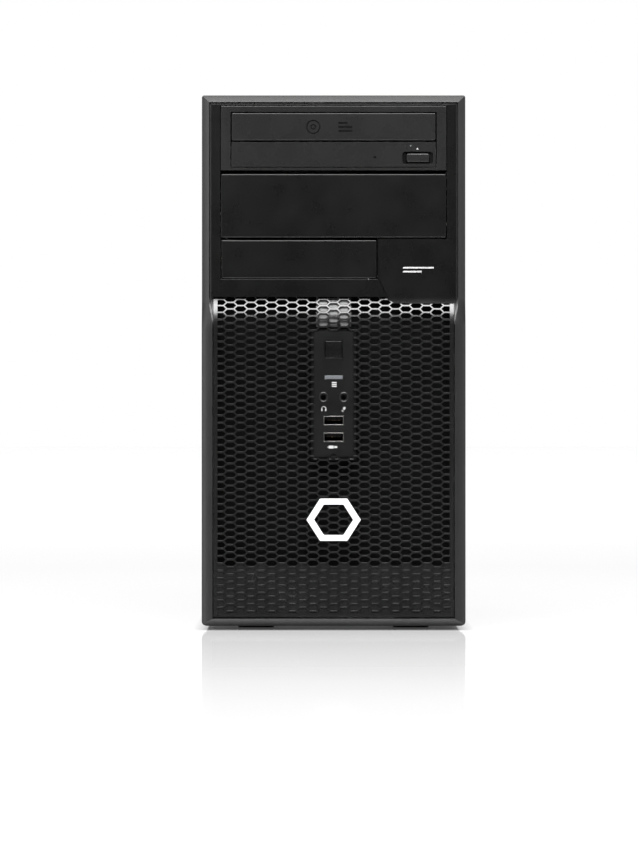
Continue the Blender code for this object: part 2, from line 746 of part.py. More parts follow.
def fan_frame(name, centre, axis, size, thick, bore, finish_name):
    """A square fan frame: round bore, a motor seat at one end and four struts to it."""
    turn = Vector((0, 0, 1)).rotation_difference(Vector(axis)).to_matrix().to_4x4()
    place = Matrix.Translation(centre) @ turn
    half = size / 2
    bm = bmesh.new()
    block(bm, (-half, -half, -thick / 2), (half, half, thick / 2))
    bmesh.ops.transform(bm, matrix=place, verts=bm.verts)
    frame = add_object(name, bm, finish_name)
    hole = bmesh.new()
    rod(hole, (0, 0, -thick), (0, 0, thick), bore, 40)
    bmesh.ops.transform(hole, matrix=place, verts=hole.verts)
    cut(frame, hole)
    top = thick / 2
    strut = 2.4 * MM
    reach = bore + MM
    for along, across, thin in ((reach, strut / 2, 0.1 * MM), (strut / 2, reach, 0.3 * MM)):
        bar = boxes(((-along, -across, top - 2 * strut + thin), (along, across, top - thin)))
        bmesh.ops.transform(bar, matrix=place, verts=bar.verts)
        join(frame, bar)


def rear_fan():
    """The exhaust fan: its frame and its rotor."""
    centre = Vector((FAN_X, REAR_INNER - GAP - FAN_THICK / 2, FAN_Z))
    fan_frame("rear_fan_frame", centre, (0, 1, 0), FAN_SIZE, FAN_THICK, FAN_BORE, "black_matt")
    middle = centre - Vector((0, 3 * MM, 0))
    fan_rotor("rear_fan_rotor", middle, (0, 1, 0), FAN_BORE - 1.5 * MM, 17 * MM, 18 * MM)


def psu():
    """The supply's case with its fan, inlet and switch openings at the back and vents at the front."""
    low = Vector((-PSU_HALF, PSU_FRONT, PSU_LOW))
    high = Vector((PSU_HALF, PSU_BACK, PSU_HIGH))
    case = box_part("psu_case", low, high, "zinc_steel")
    wall = Vector((SHEET, SHEET, SHEET))
    cut(case, boxes((low + wall, high - wall)))
    bm = bmesh.new()
    rod(
        bm,
        (PSU_FAN_X, PSU_BACK - 2 * SHEET, PSU_FAN_Z),
        (PSU_FAN_X, PSU_BACK + SHEET, PSU_FAN_Z),
        PSU_FAN_RADIUS,
        32,
    )
    for z, half_x, half_z in ((INLET_Z, 14 * MM, 10.4 * MM), (SWITCH_Z, 10 * MM, 6.8 * MM)):
        block(
            bm,
            (INLET_X - half_x, PSU_BACK - 2 * SHEET, z - half_z),
            (INLET_X + half_x, PSU_BACK + SHEET, z + half_z),
        )
    slots = 9
    for index in range(slots):
        x = (index - (slots - 1) / 2) * 14 * MM
        block(
            bm,
            (x - 2.5 * MM, PSU_FRONT - SHEET, PSU_LOW + 26 * MM),
            (x + 2.5 * MM, PSU_FRONT + 2 * SHEET, PSU_HIGH - 14 * MM),
        )
    cut(case, bm)
    inlet = box_part(
        "psu_inlet",
        (INLET_X - 13.5 * MM, PSU_BACK - 20 * MM, INLET_Z - 10 * MM),
        (INLET_X + 13.5 * MM, PSU_BACK + 3.5 * MM, INLET_Z + 10 * MM),
        "black_matt",
    )
    recess_low = (INLET_X - 12 * MM, PSU_BACK - 12 * MM, INLET_Z - 8 * MM)
    recess_high = (INLET_X + 12 * MM, BACK, INLET_Z + 8 * MM)
    cut(inlet, boxes((recess_low, recess_high)))
    pins = bmesh.new()
    for x, z in ((-7, -2), (7, -2), (0, 2)):
        place = Vector((INLET_X + x * MM, PSU_BACK, INLET_Z + z * MM))
        block(pins, place - Vector((MM, 13 * MM, 2 * MM)), place + Vector((MM, -4 * MM, 2 * MM)))
    join(inlet, pins)
    psu_switch()
    centre = Vector((PSU_FAN_X, PSU_BACK - 14 * MM, PSU_FAN_Z))
    fan_rotor("psu_fan_rotor", centre, (0, 1, 0), PSU_FAN_RADIUS - 1.2 * MM, 15 * MM, 16 * MM)


def psu_switch():
    """A rocker: two faces that meet in a shallow V, over its pivot."""
    half = 8.8 * MM
    pivot = Vector((INLET_X, PSU_BACK - 3 * MM, SWITCH_Z))
    bm = bmesh.new()
    outline = [
        (-half, 3.5 * MM, -5 * MM),
        (-half, 1.9 * MM, 0),
        (-half, 3.5 * MM, 5 * MM),
        (-half, -3 * MM, 3.6 * MM),
        (-half, -3 * MM, -3.6 * MM),
    ]
    prism(bm, [pivot + Vector(point) for point in outline], (2 * half, 0, 0))
    add_object("psu_switch_rocker", bm, "black_matt", origin=pivot)


# Motherboard and what stands on it


def motherboard():
    """The main board on its spacers."""
    low = (BOARD_FACE, BOARD_FRONT, BOARD_LOW)
    high = (BOARD_X, BOARD_BACK, BOARD_HIGH)
    box_part("motherboard", low, high, "board_green")


def cpu_cooler():
    """A finned heatsink with a square fan on it, blowing at the board."""
    half = 44 * MM
    core_half = 18 * MM
    base = 7 * MM
    fins = 14
    fin_gap = 4 * MM
    thick = 20 * MM
    face = BOARD_FACE - 6 * MM
    top = face - 38 * MM
    low = (top, CPU_Y - half, CPU_Z - half)
    sink = box_part("cpu_heatsink", low, (face, CPU_Y + half, CPU_Z + half), "aluminium")
    bm = bmesh.new()
    pitch = 2 * half / fins
    for index in range(fins):
        z = CPU_Z - half + pitch * (index + 0.5)
        gap_low = (top - MM, CPU_Y - half - MM, z - fin_gap / 2)
        block(bm, gap_low, (face - base, CPU_Y + half + MM, z + fin_gap / 2))
    cut(sink, bm)
    core_low = (face - MM, CPU_Y - core_half, CPU_Z - core_half)
    core_high = (BOARD_FACE - GAP, CPU_Y + core_half, CPU_Z + core_half)
    join(sink, boxes((core_low, core_high)))
    centre = Vector((top - GAP - thick / 2, CPU_Y, CPU_Z))
    fan_frame("cpu_fan_frame", centre, (-1, 0, 0), 88 * MM, thick, 41 * MM, "black_matt")
    fan_rotor("cpu_fan_rotor", centre + Vector((2.5 * MM, 0, 0)), (-1, 0, 0), 39.5 * MM, 17 * MM, 14 * MM)


def memory(index, y):
    """A memory socket with its end latches, and the module in its groove."""
    middle = 184 * MM
    half = 70 * MM
    top = BOARD_FACE - GAP - 7 * MM
    socket = box_part(
        f"memory_socket_{index}",
        (top, y - 3.2 * MM, middle - half),
        (BOARD_FACE - GAP, y + 3.2 * MM, middle + half),
        "black_matt",
    )
    tip = top - 10 * MM
    width = 3 * MM
    outer = half - 0.1 * MM
    inner = half - 2.6 * MM
    for start, end in ((-outer, -inner), (inner, outer)):
        latch_high = (top + MM, y + width, middle + end)
        join(socket, boxes(((tip, y - width, middle + start), latch_high)))
    groove_low = (top - MM, y - 1.1 * MM, middle - 66.9 * MM)
    cut(socket, boxes((groove_low, (top + 4 * MM, y + 1.1 * MM, middle + 66.9 * MM))))
    box_part(
        f"memory_module_{index}",
        (top + 3.6 * MM - 30 * MM, y - 0.65 * MM, middle - 66.6 * MM),
        (top + 3.6 * MM, y + 0.65 * MM, middle + 66.6 * MM),
        "board_green",
    )


def expansion_slot(name, length, z):
    """A card slot: a long body with an open groove."""
    back = 150 * MM
    top = BOARD_FACE - GAP - 11 * MM
    slot = box_part(
        name, (top, back - length, z - 3.7 * MM), (BOARD_FACE - GAP, back, z + 3.7 * MM), "black_matt"
    )
    groove = boxes(((top - MM, back - length + 2 * MM, z - MM), (top + 8 * MM, back - 2 * MM, z + MM)))
    cut(slot, groove)


def rear_ports():
    """The block of connectors at the board's edge, showing through the rear panel."""
    shield_back = REAR_OUTER - 0.2 * MM
    shield = (PORTS_LEFT, REAR_INNER, PORTS_LOW), (PORTS_RIGHT, shield_back, PORTS_HIGH)
    ports = box_part("rear_ports", *shield, "bright_steel")
    seat = PORTS_RIGHT - GAP
    deep = 178 * MM
    proud = REAR_OUTER + 1 * MM
    bm = bmesh.new()
    audio = (96, 110, 34)
    network = (114, 130, 30)
    usb = (134, 150, 31)
    display = (154, 171, 17)
    serial = (175, 192, 17)
    usb_upper = (196, 213, 31)
    keyboard_mouse = (217, 249, 36)
    for low, high, height in (audio, network, usb, display, serial, usb_upper, keyboard_mouse):
        block(bm, (seat - height * MM, deep, low * MM), (seat, proud, high * MM))
    join(ports, bm)


# Leads held at both ends


def smooth_route(points, steps):
    """Points along a Catmull-Rom curve through the given ones."""
    ends = [points[0], *points, points[-1]]
    route = []
    for before, start, end, after in zip(ends, ends[1:], ends[2:], ends[3:]):
        for step in range(steps):
            t = step / steps
            route.append(
                0.5
                * (
                    2 * start
                    + (end - before) * t
                    + (2 * before - 5 * start + 4 * end - after) * t * t
                    + (3 * start - before - 3 * end + after) * t * t * t
                )
            )
    return [*route, points[-1]]


def lead(name, points, diameter, finish_name, steps=4):
    """A flexible lead, as a round tube along its route."""
    curve = bpy.data.curves.new(name, "CURVE")
    curve.dimensions = "3D"
    curve.bevel_depth = diameter / 2
    curve.bevel_resolution = 2
    curve.use_fill_caps = True
    route = smooth_route([Vector(point) * MM for point in points], steps)
    spline = curve.splines.new("POLY")
    spline.points.add(len(route) - 1)
    for place, point in zip(spline.points, route):
        place.co = (*point, 1)
    curve.materials.append(finish(finish_name))
    obj = bpy.data.objects.new(name, curve)
    bpy.context.scene.collection.objects.link(obj)


def inner_leads():
    """Three leads: supply to board, drive to board and front connectors to board."""
    clear = 1.2
    supply_face = PSU_FRONT / MM - clear
    board_face = BOARD_FACE / MM - clear
    disk_back = (HDD_FRONT + HDD_SIZE[1]) / MM + clear
    io_back = (IO_BOARD + BOARD_THICK) / MM + clear
    power = [(50, supply_face, 276), (50, 48, 276), (49, 30, 273), (46, 10, 267), (44, -8, 260)]
    power += [(45, -20, 251), (49, -32, 238), (55, -38, 220), (60, -38, 208), (66, -38, 204)]
    lead("main_power_lead", [*power, (board_face, -38, 204)], 7 * MM, "lead_black")
    data = [(0, disk_back, 214), (0, 0, 214), (4, 16, 208), (18, 24, 170)]
    data += [(34, 20, 110), (50, 12, 68), (64, 10, 60)]
    lead("drive_data_lead", [*data, (board_face, 10, 60)], 5 * MM, "lead_red")
    panel = [(0, io_back, 126), (0, -184, 126), (8, -166, 110), (26, -120, 62)]
    panel += [(44, -70, 38), (58, -42, 31), (65, -38, 30)]
    lead("front_panel_lead", [*panel, (board_face, -38, 30)], 4 * MM, "lead_black")


def main():
    """Builds every piece, from the chassis inwards."""
    clear_scene()
    chassis_floor()
    chassis_top()
    front_plate()
    rear_panel()
    motherboard_tray()
    right_side_panel()
    left_side_panel()
    for name, z in (("thumbscrew_upper", 310 * MM), ("thumbscrew_lower", 60 * MM)):
        thumbscrew(name, z)
    drive_cage()
    hdd_cage()
    hard_disk()
    slot_covers()
    feet()
    front_bezel()
    front_grille()
    front_badge()
    bay_covers()
    io_panel()
    power_button()
    status_light()
    for name, z in zip(("usb_port_upper", "usb_port_lower"), USB_ROWS):
        usb_port(name, z)
    audio_jack("headphone_jack", -JACK_X)
    audio_jack("microphone_jack", JACK_X)
    front_io_board()
    odd_housing()
    odd_bezel_frame()
    odd_lower_panel()
    odd_eject_button()
    odd_tray()
    odd_tray_front()
    odd_turntable()
    rear_fan()
    psu()
    motherboard()
    cpu_cooler()
    for index, y in ((1, -2 * MM), (2, -12 * MM)):
        memory(index, y)
    expansion_slot("pcie_x16_slot", 89 * MM, SLOT_TOP_Z)
    expansion_slot("pcie_x1_slot", 25 * MM, SLOT_TOP_Z - SLOT_PITCH)
    rear_ports()
    inner_leads()


main()
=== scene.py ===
"""Desktop computer tower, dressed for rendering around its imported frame.

Each sub-assembly is a class that holds its sizes and builds its pieces with the modelling operators.
Each finish is a frozen dataclass that makes its own procedural material.
"""

import json
import logging
import math
from dataclasses import dataclass, field
from enum import Enum
from typing import Callable, Iterable, Sequence

import bpy
from mathutils import Matrix, Vector


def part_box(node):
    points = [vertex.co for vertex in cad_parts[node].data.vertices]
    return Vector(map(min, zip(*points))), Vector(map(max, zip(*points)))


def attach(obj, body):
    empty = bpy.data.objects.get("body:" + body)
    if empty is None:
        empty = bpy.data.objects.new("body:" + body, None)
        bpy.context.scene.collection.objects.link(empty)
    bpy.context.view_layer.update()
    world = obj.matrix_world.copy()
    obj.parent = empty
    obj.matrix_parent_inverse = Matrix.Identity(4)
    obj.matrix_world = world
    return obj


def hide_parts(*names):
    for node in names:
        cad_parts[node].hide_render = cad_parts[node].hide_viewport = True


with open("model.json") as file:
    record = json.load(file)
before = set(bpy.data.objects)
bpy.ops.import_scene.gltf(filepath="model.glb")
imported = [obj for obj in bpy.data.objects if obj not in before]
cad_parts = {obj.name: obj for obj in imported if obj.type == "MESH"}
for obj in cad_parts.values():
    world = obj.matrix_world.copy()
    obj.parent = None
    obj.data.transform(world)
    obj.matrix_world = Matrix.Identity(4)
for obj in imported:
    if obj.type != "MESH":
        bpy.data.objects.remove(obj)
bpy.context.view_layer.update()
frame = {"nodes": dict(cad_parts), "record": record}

LOG = logging.getLogger("tower")
MM = 0.001
BISECT = 0.000001
HEXAGON = ((1, 0), (0.5, 1), (-0.5, 1), (-1, 0), (-0.5, -1), (0.5, -1))
CASE = "case"
Point = tuple[float, float, float]
FaceTest = Callable[[Vector, Vector], bool]
EdgeTest = Callable[[Vector, Vector], bool]


def box_mm(node: str) -> tuple[Vector, Vector]:
    """The lowest and highest corner of a CAD node, in millimetres.

    Args:
        node: The node's name in the frame.

    Returns:
        The two corners.
    """
    low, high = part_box(node)
    return low / MM, high / MM


class Axis(Enum):
    """The direction that a round piece points in."""

    X = (0.0, math.pi / 2, 0.0)
    Y = (math.pi / 2, 0.0, 0.0)
    Z = (0.0, 0.0, 0.0)


# Finishes


class Nodes:
    """A node tree, with short methods for the nodes that the finishes and the surround share."""

    def __init__(self, tree: bpy.types.NodeTree) -> None:
        """Keeps the tree and adds its coordinates."""
        self.tree = tree
        self.coordinates = tree.nodes.new("ShaderNodeTexCoord").outputs

    def add(self, kind: str, **inputs: object) -> bpy.types.Node:
        """Adds a node and fills its inputs.

        Args:
            kind: The node's type.
            inputs: Input names, with _ for a space, and a socket or a value for each.

        Returns:
            The node.
        """
        node = self.tree.nodes.new(kind)
        for name, value in inputs.items():
            self.fill(node.inputs[name.replace("_", " ")], value)
        return node

    def fill(self, socket: bpy.types.NodeSocket, value: object) -> None:
        """Links a socket to an input, or sets the input's value.

        Args:
            socket: The input to fill.
            value: A number, a colour or another node's output.
        """
        if isinstance(value, bpy.types.NodeSocket):
            self.tree.links.new(value, socket)
        else:
            socket.default_value = value

    def ramp(
        self, value: bpy.types.NodeSocket, source: tuple[float, float], target: tuple[float, float]
    ) -> bpy.types.NodeSocket:
        """Maps one range of a value to another, and stops at its ends.

        Args:
            value: The value.
            source: Its range, from low to high.
            target: The results at those two ends.

        Returns:
            The mapped value's socket.
        """
        node = self.add("ShaderNodeMapRange", Value=value)
        for name, number in zip(("From Min", "From Max", "To Min", "To Max"), (*source, *target)):
            node.inputs[name].default_value = number
        return node.outputs["Result"]

    def join(
        self, operation: str, first: bpy.types.NodeSocket, second: bpy.types.NodeSocket | float
    ) -> bpy.types.NodeSocket:
        """Joins two values with a mathematical operation.

        Args:
            operation: The node's operation, such as MULTIPLY.
            first: The first operand.
            second: The second operand.

        Returns:
            The output of the new node.
        """
        node = self.add("ShaderNodeMath")
        node.operation = operation
        self.fill(node.inputs[0], first)
        self.fill(node.inputs[1], second)
        return node.outputs[0]


class Sheet(Nodes):
    """A material's node sheet."""

    def __init__(self, name: str) -> None:
        """Starts an empty Principled material.

        Args:
            name: The material's name.
        """
        self.material = bpy.data.materials.new(name)
        self.material.use_nodes = True
        super().__init__(self.material.node_tree)
        self.shader = self.tree.nodes["Principled BSDF"]
        self.place = self.coordinates["Object"]

    def stretched(self, scale: Point) -> bpy.types.NodeSocket:
        """Object coordinates, scaled by a different number along each axis."""
        return self.add("ShaderNodeMapping", Vector=self.place, Scale=scale).outputs["Vector"]

    def noise(self, scale: float, detail: float = 2.0, stretch: Point = (1, 1, 1)) -> bpy.types.NodeSocket:
        """Noise in object coordinates.

        Args:
            scale: Waves per metre.
            detail: How many finer layers it has.
            stretch: The factor along each axis.

        Returns:
            The noise value's socket.
        """
        node = self.add("ShaderNodeTexNoise", Vector=self.stretched(stretch), Scale=scale, Detail=detail)
        return node.outputs["Fac"]

    def cells(self, scale: float, stretch: Point = (1, 1, 1)) -> bpy.types.NodeSocket:
        """The distance output of Voronoi cells in object coordinates."""
        node = self.add("ShaderNodeTexVoronoi", Vector=self.stretched(stretch), Scale=scale)
        return node.outputs["Distance"]

    def spread(self, value: bpy.types.NodeSocket, low: float, high: float) -> bpy.types.NodeSocket:
        """Maps the middle of a noise's range to a range of its own.

        Args:
            value: A noise value.
            low: The result where the noise is low.
            high: The result where it is high.

        Returns:
            The mapped value's socket.
        """
        return self.ramp(value, (0.3, 0.7), (low, high))

    def blend(self, share: object, first: object, second: object) -> bpy.types.NodeSocket:
        """Mixes two colours.

        Args:
            share: How much of the second one shows.
            first: A colour or a socket.
            second: A colour or a socket.

        Returns:
            The mixed colour's socket.
        """
        node = self.tree.nodes.new("ShaderNodeMix")
        node.data_type = "RGBA"
        self.fill(node.inputs[0], share)
        self.fill(node.inputs[6], first)
        self.fill(node.inputs[7], second)
        return node.outputs[2]

    def upward(self) -> bpy.types.NodeSocket:
        """How far a face looks up, from 0 to 1, for the dust that settles on it.

        Returns:
            The output, 1 where the face looks up.
        """
        normal = self.tree.nodes.new("ShaderNodeNewGeometry").outputs["Normal"]
        parts = self.add("ShaderNodeSeparateXYZ", Vector=normal)
        return self.ramp(parts.outputs["Z"], (0.5, 1.0), (0.0, 1.0))

    def bump(self, height: bpy.types.NodeSocket, strength: float, distance: float) -> None:
        """Roughens the shader's normal with a height.

        Args:
            height: The height's socket.
            strength: From 0 to 1.
            distance: The height's depth in metres.
        """
        node = self.add("ShaderNodeBump", Height=height, Strength=strength, Distance=distance)
        self.tree.links.new(node.outputs["Normal"], self.shader.inputs["Normal"])


def rgba(grey: float | Sequence[float]) -> tuple[float, float, float, float]:
    """A colour with its alpha, from one grey or from three numbers."""
    red, green, blue = (grey, grey, grey) if isinstance(grey, (int, float)) else grey
    return (red, green, blue, 1.0)


@dataclass(frozen=True)
class Moulded:
    """Moulded plastic: spark-eroded grain, faint flow marks and a little settled dust."""

    name: str
    slot: str
    colour: Sequence[float] | float
    roughness: float = 0.4
    grain: float = 2200.0
    depth: float = 0.25
    dust: float = 0.05
    coat: float = 0.0
    gloss: float = 0.5

    def material(self) -> bpy.types.Material:
        """Makes the material.

        Returns:
            The new material.
        """
        sheet = Sheet(self.name)
        base = rgba(self.colour)
        flow = sheet.noise(14, 3, (1, 1, 0.4))
        light = rgba([channel * 1.18 + 0.002 for channel in base[:3]])
        shade = sheet.blend(sheet.spread(flow, 0, 1), base, light)
        dust = sheet.join("MULTIPLY", sheet.upward(), self.dust)
        shade = sheet.blend(dust, shade, rgba((0.30, 0.29, 0.27)))
        sheet.fill(sheet.shader.inputs["Base Color"], shade)
        rough = sheet.spread(sheet.noise(60, 4), self.roughness * 0.9, self.roughness * 1.12)
        sheet.fill(sheet.shader.inputs["Roughness"], rough)
        sheet.bump(sheet.noise(self.grain, 2), self.depth, 0.00006)
        sheet.shader.inputs["Specular IOR Level"].default_value = self.gloss
        sheet.shader.inputs["Coat Weight"].default_value = self.coat
        sheet.shader.inputs["Coat Roughness"].default_value = 0.2
        return sheet.material


@dataclass(frozen=True)
class PlatedSteel:
    """Zinc or nickel plated sheet: rolling streaks along one axis and soft crystal patches."""

    name: str
    slot: str
    colour: Sequence[float] | float
    roughness: float = 0.34
    streak: Point = (1, 0.04, 1)
    patches: float = 90.0

    def material(self) -> bpy.types.Material:
        """Makes the material.

        Returns:
            The new material.
        """
        sheet = Sheet(self.name)
        base = rgba(self.colour)
        dark = rgba([channel * 0.8 for channel in base[:3]])
        patch = sheet.cells(self.patches)
        sheet.fill(sheet.shader.inputs["Base Color"], sheet.blend(sheet.spread(patch, 0, 0.7), base, dark))
        streaks = sheet.noise(900, 3, self.streak)
        rough = sheet.spread(streaks, self.roughness * 0.8, self.roughness * 1.3)
        sheet.fill(sheet.shader.inputs["Roughness"], rough)
        sheet.bump(streaks, 0.12, 0.00003)
        sheet.shader.inputs["Metallic"].default_value = 0.95
        return sheet.material


@dataclass(frozen=True)
class PaintedSteel:
    """Steel with fine orange-peel paint."""

    name: str
    slot: str
    colour: Sequence[float] | float
    roughness: float = 0.42
    peel: float = 850.0
    dust: float = 0.05

    def material(self) -> bpy.types.Material:
        """Makes the material.

        Returns:
            The new material.
        """
        sheet = Sheet(self.name)
        base = rgba(self.colour)
        light = rgba([channel * 1.3 for channel in base[:3]])
        cloud = sheet.spread(sheet.noise(9, 3), 0, 0.6)
        shade = sheet.blend(cloud, base, light)
        dust = sheet.join("MULTIPLY", sheet.upward(), self.dust)
        shade = sheet.blend(dust, shade, rgba((0.35, 0.34, 0.32)))
        sheet.fill(sheet.shader.inputs["Base Color"], shade)
        rough = sheet.spread(sheet.noise(40, 3), self.roughness * 0.88, self.roughness * 1.15)
        sheet.fill(sheet.shader.inputs["Roughness"], rough)
        sheet.bump(sheet.cells(self.peel), 0.35, 0.00008)
        return sheet.material


@dataclass(frozen=True)
class CircuitBoard:
    """Solder mask with fine copper lines showing through as lighter tracks."""

    name: str
    slot: str
    colour: Sequence[float]
    tracks: float = 260.0

    def material(self) -> bpy.types.Material:
        """Makes the material.

        Returns:
            The new material.
        """
        sheet = Sheet(self.name)
        base = rgba(self.colour)
        light = rgba([channel * 1.9 + 0.006 for channel in base[:3]])
        bands = sheet.add("ShaderNodeTexBrick", Vector=sheet.stretched((1, 1, 1)), Scale=self.tracks)
        bands.inputs["Color1"].default_value = rgba(0.0)
        bands.inputs["Color2"].default_value = rgba(0.25)
        bands.inputs["Mortar"].default_value = rgba(1.0)
        bands.inputs["Mortar Size"].default_value = 0.06
        fields = sheet.spread(sheet.noise(45, 2), 0.0, 1.0)
        share = sheet.blend(fields, bands.outputs["Color"], rgba(0.15))
        sheet.fill(sheet.shader.inputs["Base Color"], sheet.blend(share, base, light))
        sheet.fill(sheet.shader.inputs["Roughness"], sheet.spread(sheet.noise(120, 3), 0.3, 0.45))
        sheet.bump(bands.outputs["Fac"], 0.2, 0.00004)
        return sheet.material


@dataclass(frozen=True)
class Braid:
    """The woven sleeve or the jacket of an inner lead."""

    name: str
    slot: str
    colour: Sequence[float]
    weave: float = 620.0

    def material(self) -> bpy.types.Material:
        """Makes the material.

        Returns:
            The new material.
        """
        sheet = Sheet(self.name)
        base = rgba(self.colour)
        light = rgba([channel * 2.2 + 0.01 for channel in base[:3]])
        strands = sheet.cells(self.weave)
        sheet.fill(sheet.shader.inputs["Base Color"], sheet.blend(sheet.spread(strands, 0, 1), light, base))
        sheet.shader.inputs["Roughness"].default_value = 0.55
        sheet.bump(strands, 0.6, 0.0003)
        return sheet.material


class Finish(Enum):
    """Every finish on the tower."""

    SATIN = Moulded("satin_black", "black_satin", 0.0025, 0.28, depth=0.2, gloss=0.3)
    COVER = Moulded("cover_black", "black_satin", 0.0025, 0.29, depth=0.2, gloss=0.32)
    DOOR = Moulded("door_black", "black_satin", 0.0105, 0.27, depth=0.12, gloss=0.32)
    RIM = Moulded("rim_satin", "black_satin", 0.0135, 0.33, depth=0.15)
    MESH = Moulded("grille_black", "black_satin", 0.0035, 0.25, depth=0.15, gloss=0.6)
    MATT = Moulded("matt_black", "black_matt", 0.0022, 0.36, depth=0.3, gloss=0.3)
    # Near black, rough and almost without gloss: painted shade in hollows, recesses and bores, and the plain
    # black of the disc mark and of the grille's lining.
    BLACK_AND_SHADE = Moulded("black_and_painted_shade", "black_matt", 0.0015, 0.9, depth=0.1, dust=0.0, gloss=0.1)
    FIN = Moulded("carrier_grey", "black_matt", 0.10, 0.5, depth=0.1, dust=0.0)
    PRINT = Moulded("printed_grey", "black_satin", 0.42, 0.5, depth=0.05, dust=0.0)
    WHITE = Moulded("badge_white", "white_plastic", 0.82, 0.3, depth=0.05, dust=0.0, coat=0.4)
    LENS = Moulded("smoke_lens", "light_lens", (0.115, 0.122, 0.13), 0.22, depth=0.05, dust=0.0, coat=0.5)
    RUBBER = Moulded("foot_rubber", "rubber", 0.010, 0.7, grain=900, depth=0.5)
    NYLON = Moulded("nylon_white", "black_matt", (0.62, 0.60, 0.54), 0.45, dust=0.0)
    BLUE = Moulded("socket_blue", "black_matt", (0.03, 0.10, 0.42), 0.4, dust=0.0)
    GREEN = Moulded("socket_green", "black_matt", (0.10, 0.42, 0.12), 0.4, dust=0.0)
    PINK = Moulded("socket_pink", "black_matt", (0.62, 0.16, 0.22), 0.4, dust=0.0)
    SKY = Moulded("socket_sky", "black_matt", (0.10, 0.32, 0.55), 0.4, dust=0.0)
    PURPLE = Moulded("socket_purple", "black_matt", (0.20, 0.09, 0.40), 0.4, dust=0.0)
    ZINC = PlatedSteel("zinc_plated", "zinc_steel", (0.60, 0.60, 0.58))
    NICKEL = PlatedSteel("nickel_plated", "bright_steel", (0.70, 0.69, 0.67), 0.2)
    ALUMINIUM = PlatedSteel("bare_aluminium", "aluminium", (0.72, 0.72, 0.73), 0.3, (1, 1, 0.05))
    GOLD = PlatedSteel("gold_contact", "bright_steel", (0.78, 0.56, 0.22), 0.25)
    PAINT = PaintedSteel("black_paint", "painted_steel", 0.019)
    BOARD = CircuitBoard("board_mask", "board_green", (0.008, 0.045, 0.02))
    SLEEVE = Braid("black_sleeve", "lead_black", (0.012, 0.012, 0.012))
    JACKET = Braid("red_jacket", "lead_red", (0.30, 0.02, 0.015))


MATERIALS: dict[Finish, bpy.types.Material] = {}


def material_of(finish: Finish) -> bpy.types.Material:
    """The finish's material, made on first use.

    Args:
        finish: The finish to look up.

    Returns:
        The material.
    """
    if finish not in MATERIALS:
        MATERIALS[finish] = finish.value.material()
    return MATERIALS[finish]


# Modelling with the operators


def every_face(centre: Vector, normal: Vector) -> bool:
    """Picks every face."""
    return True


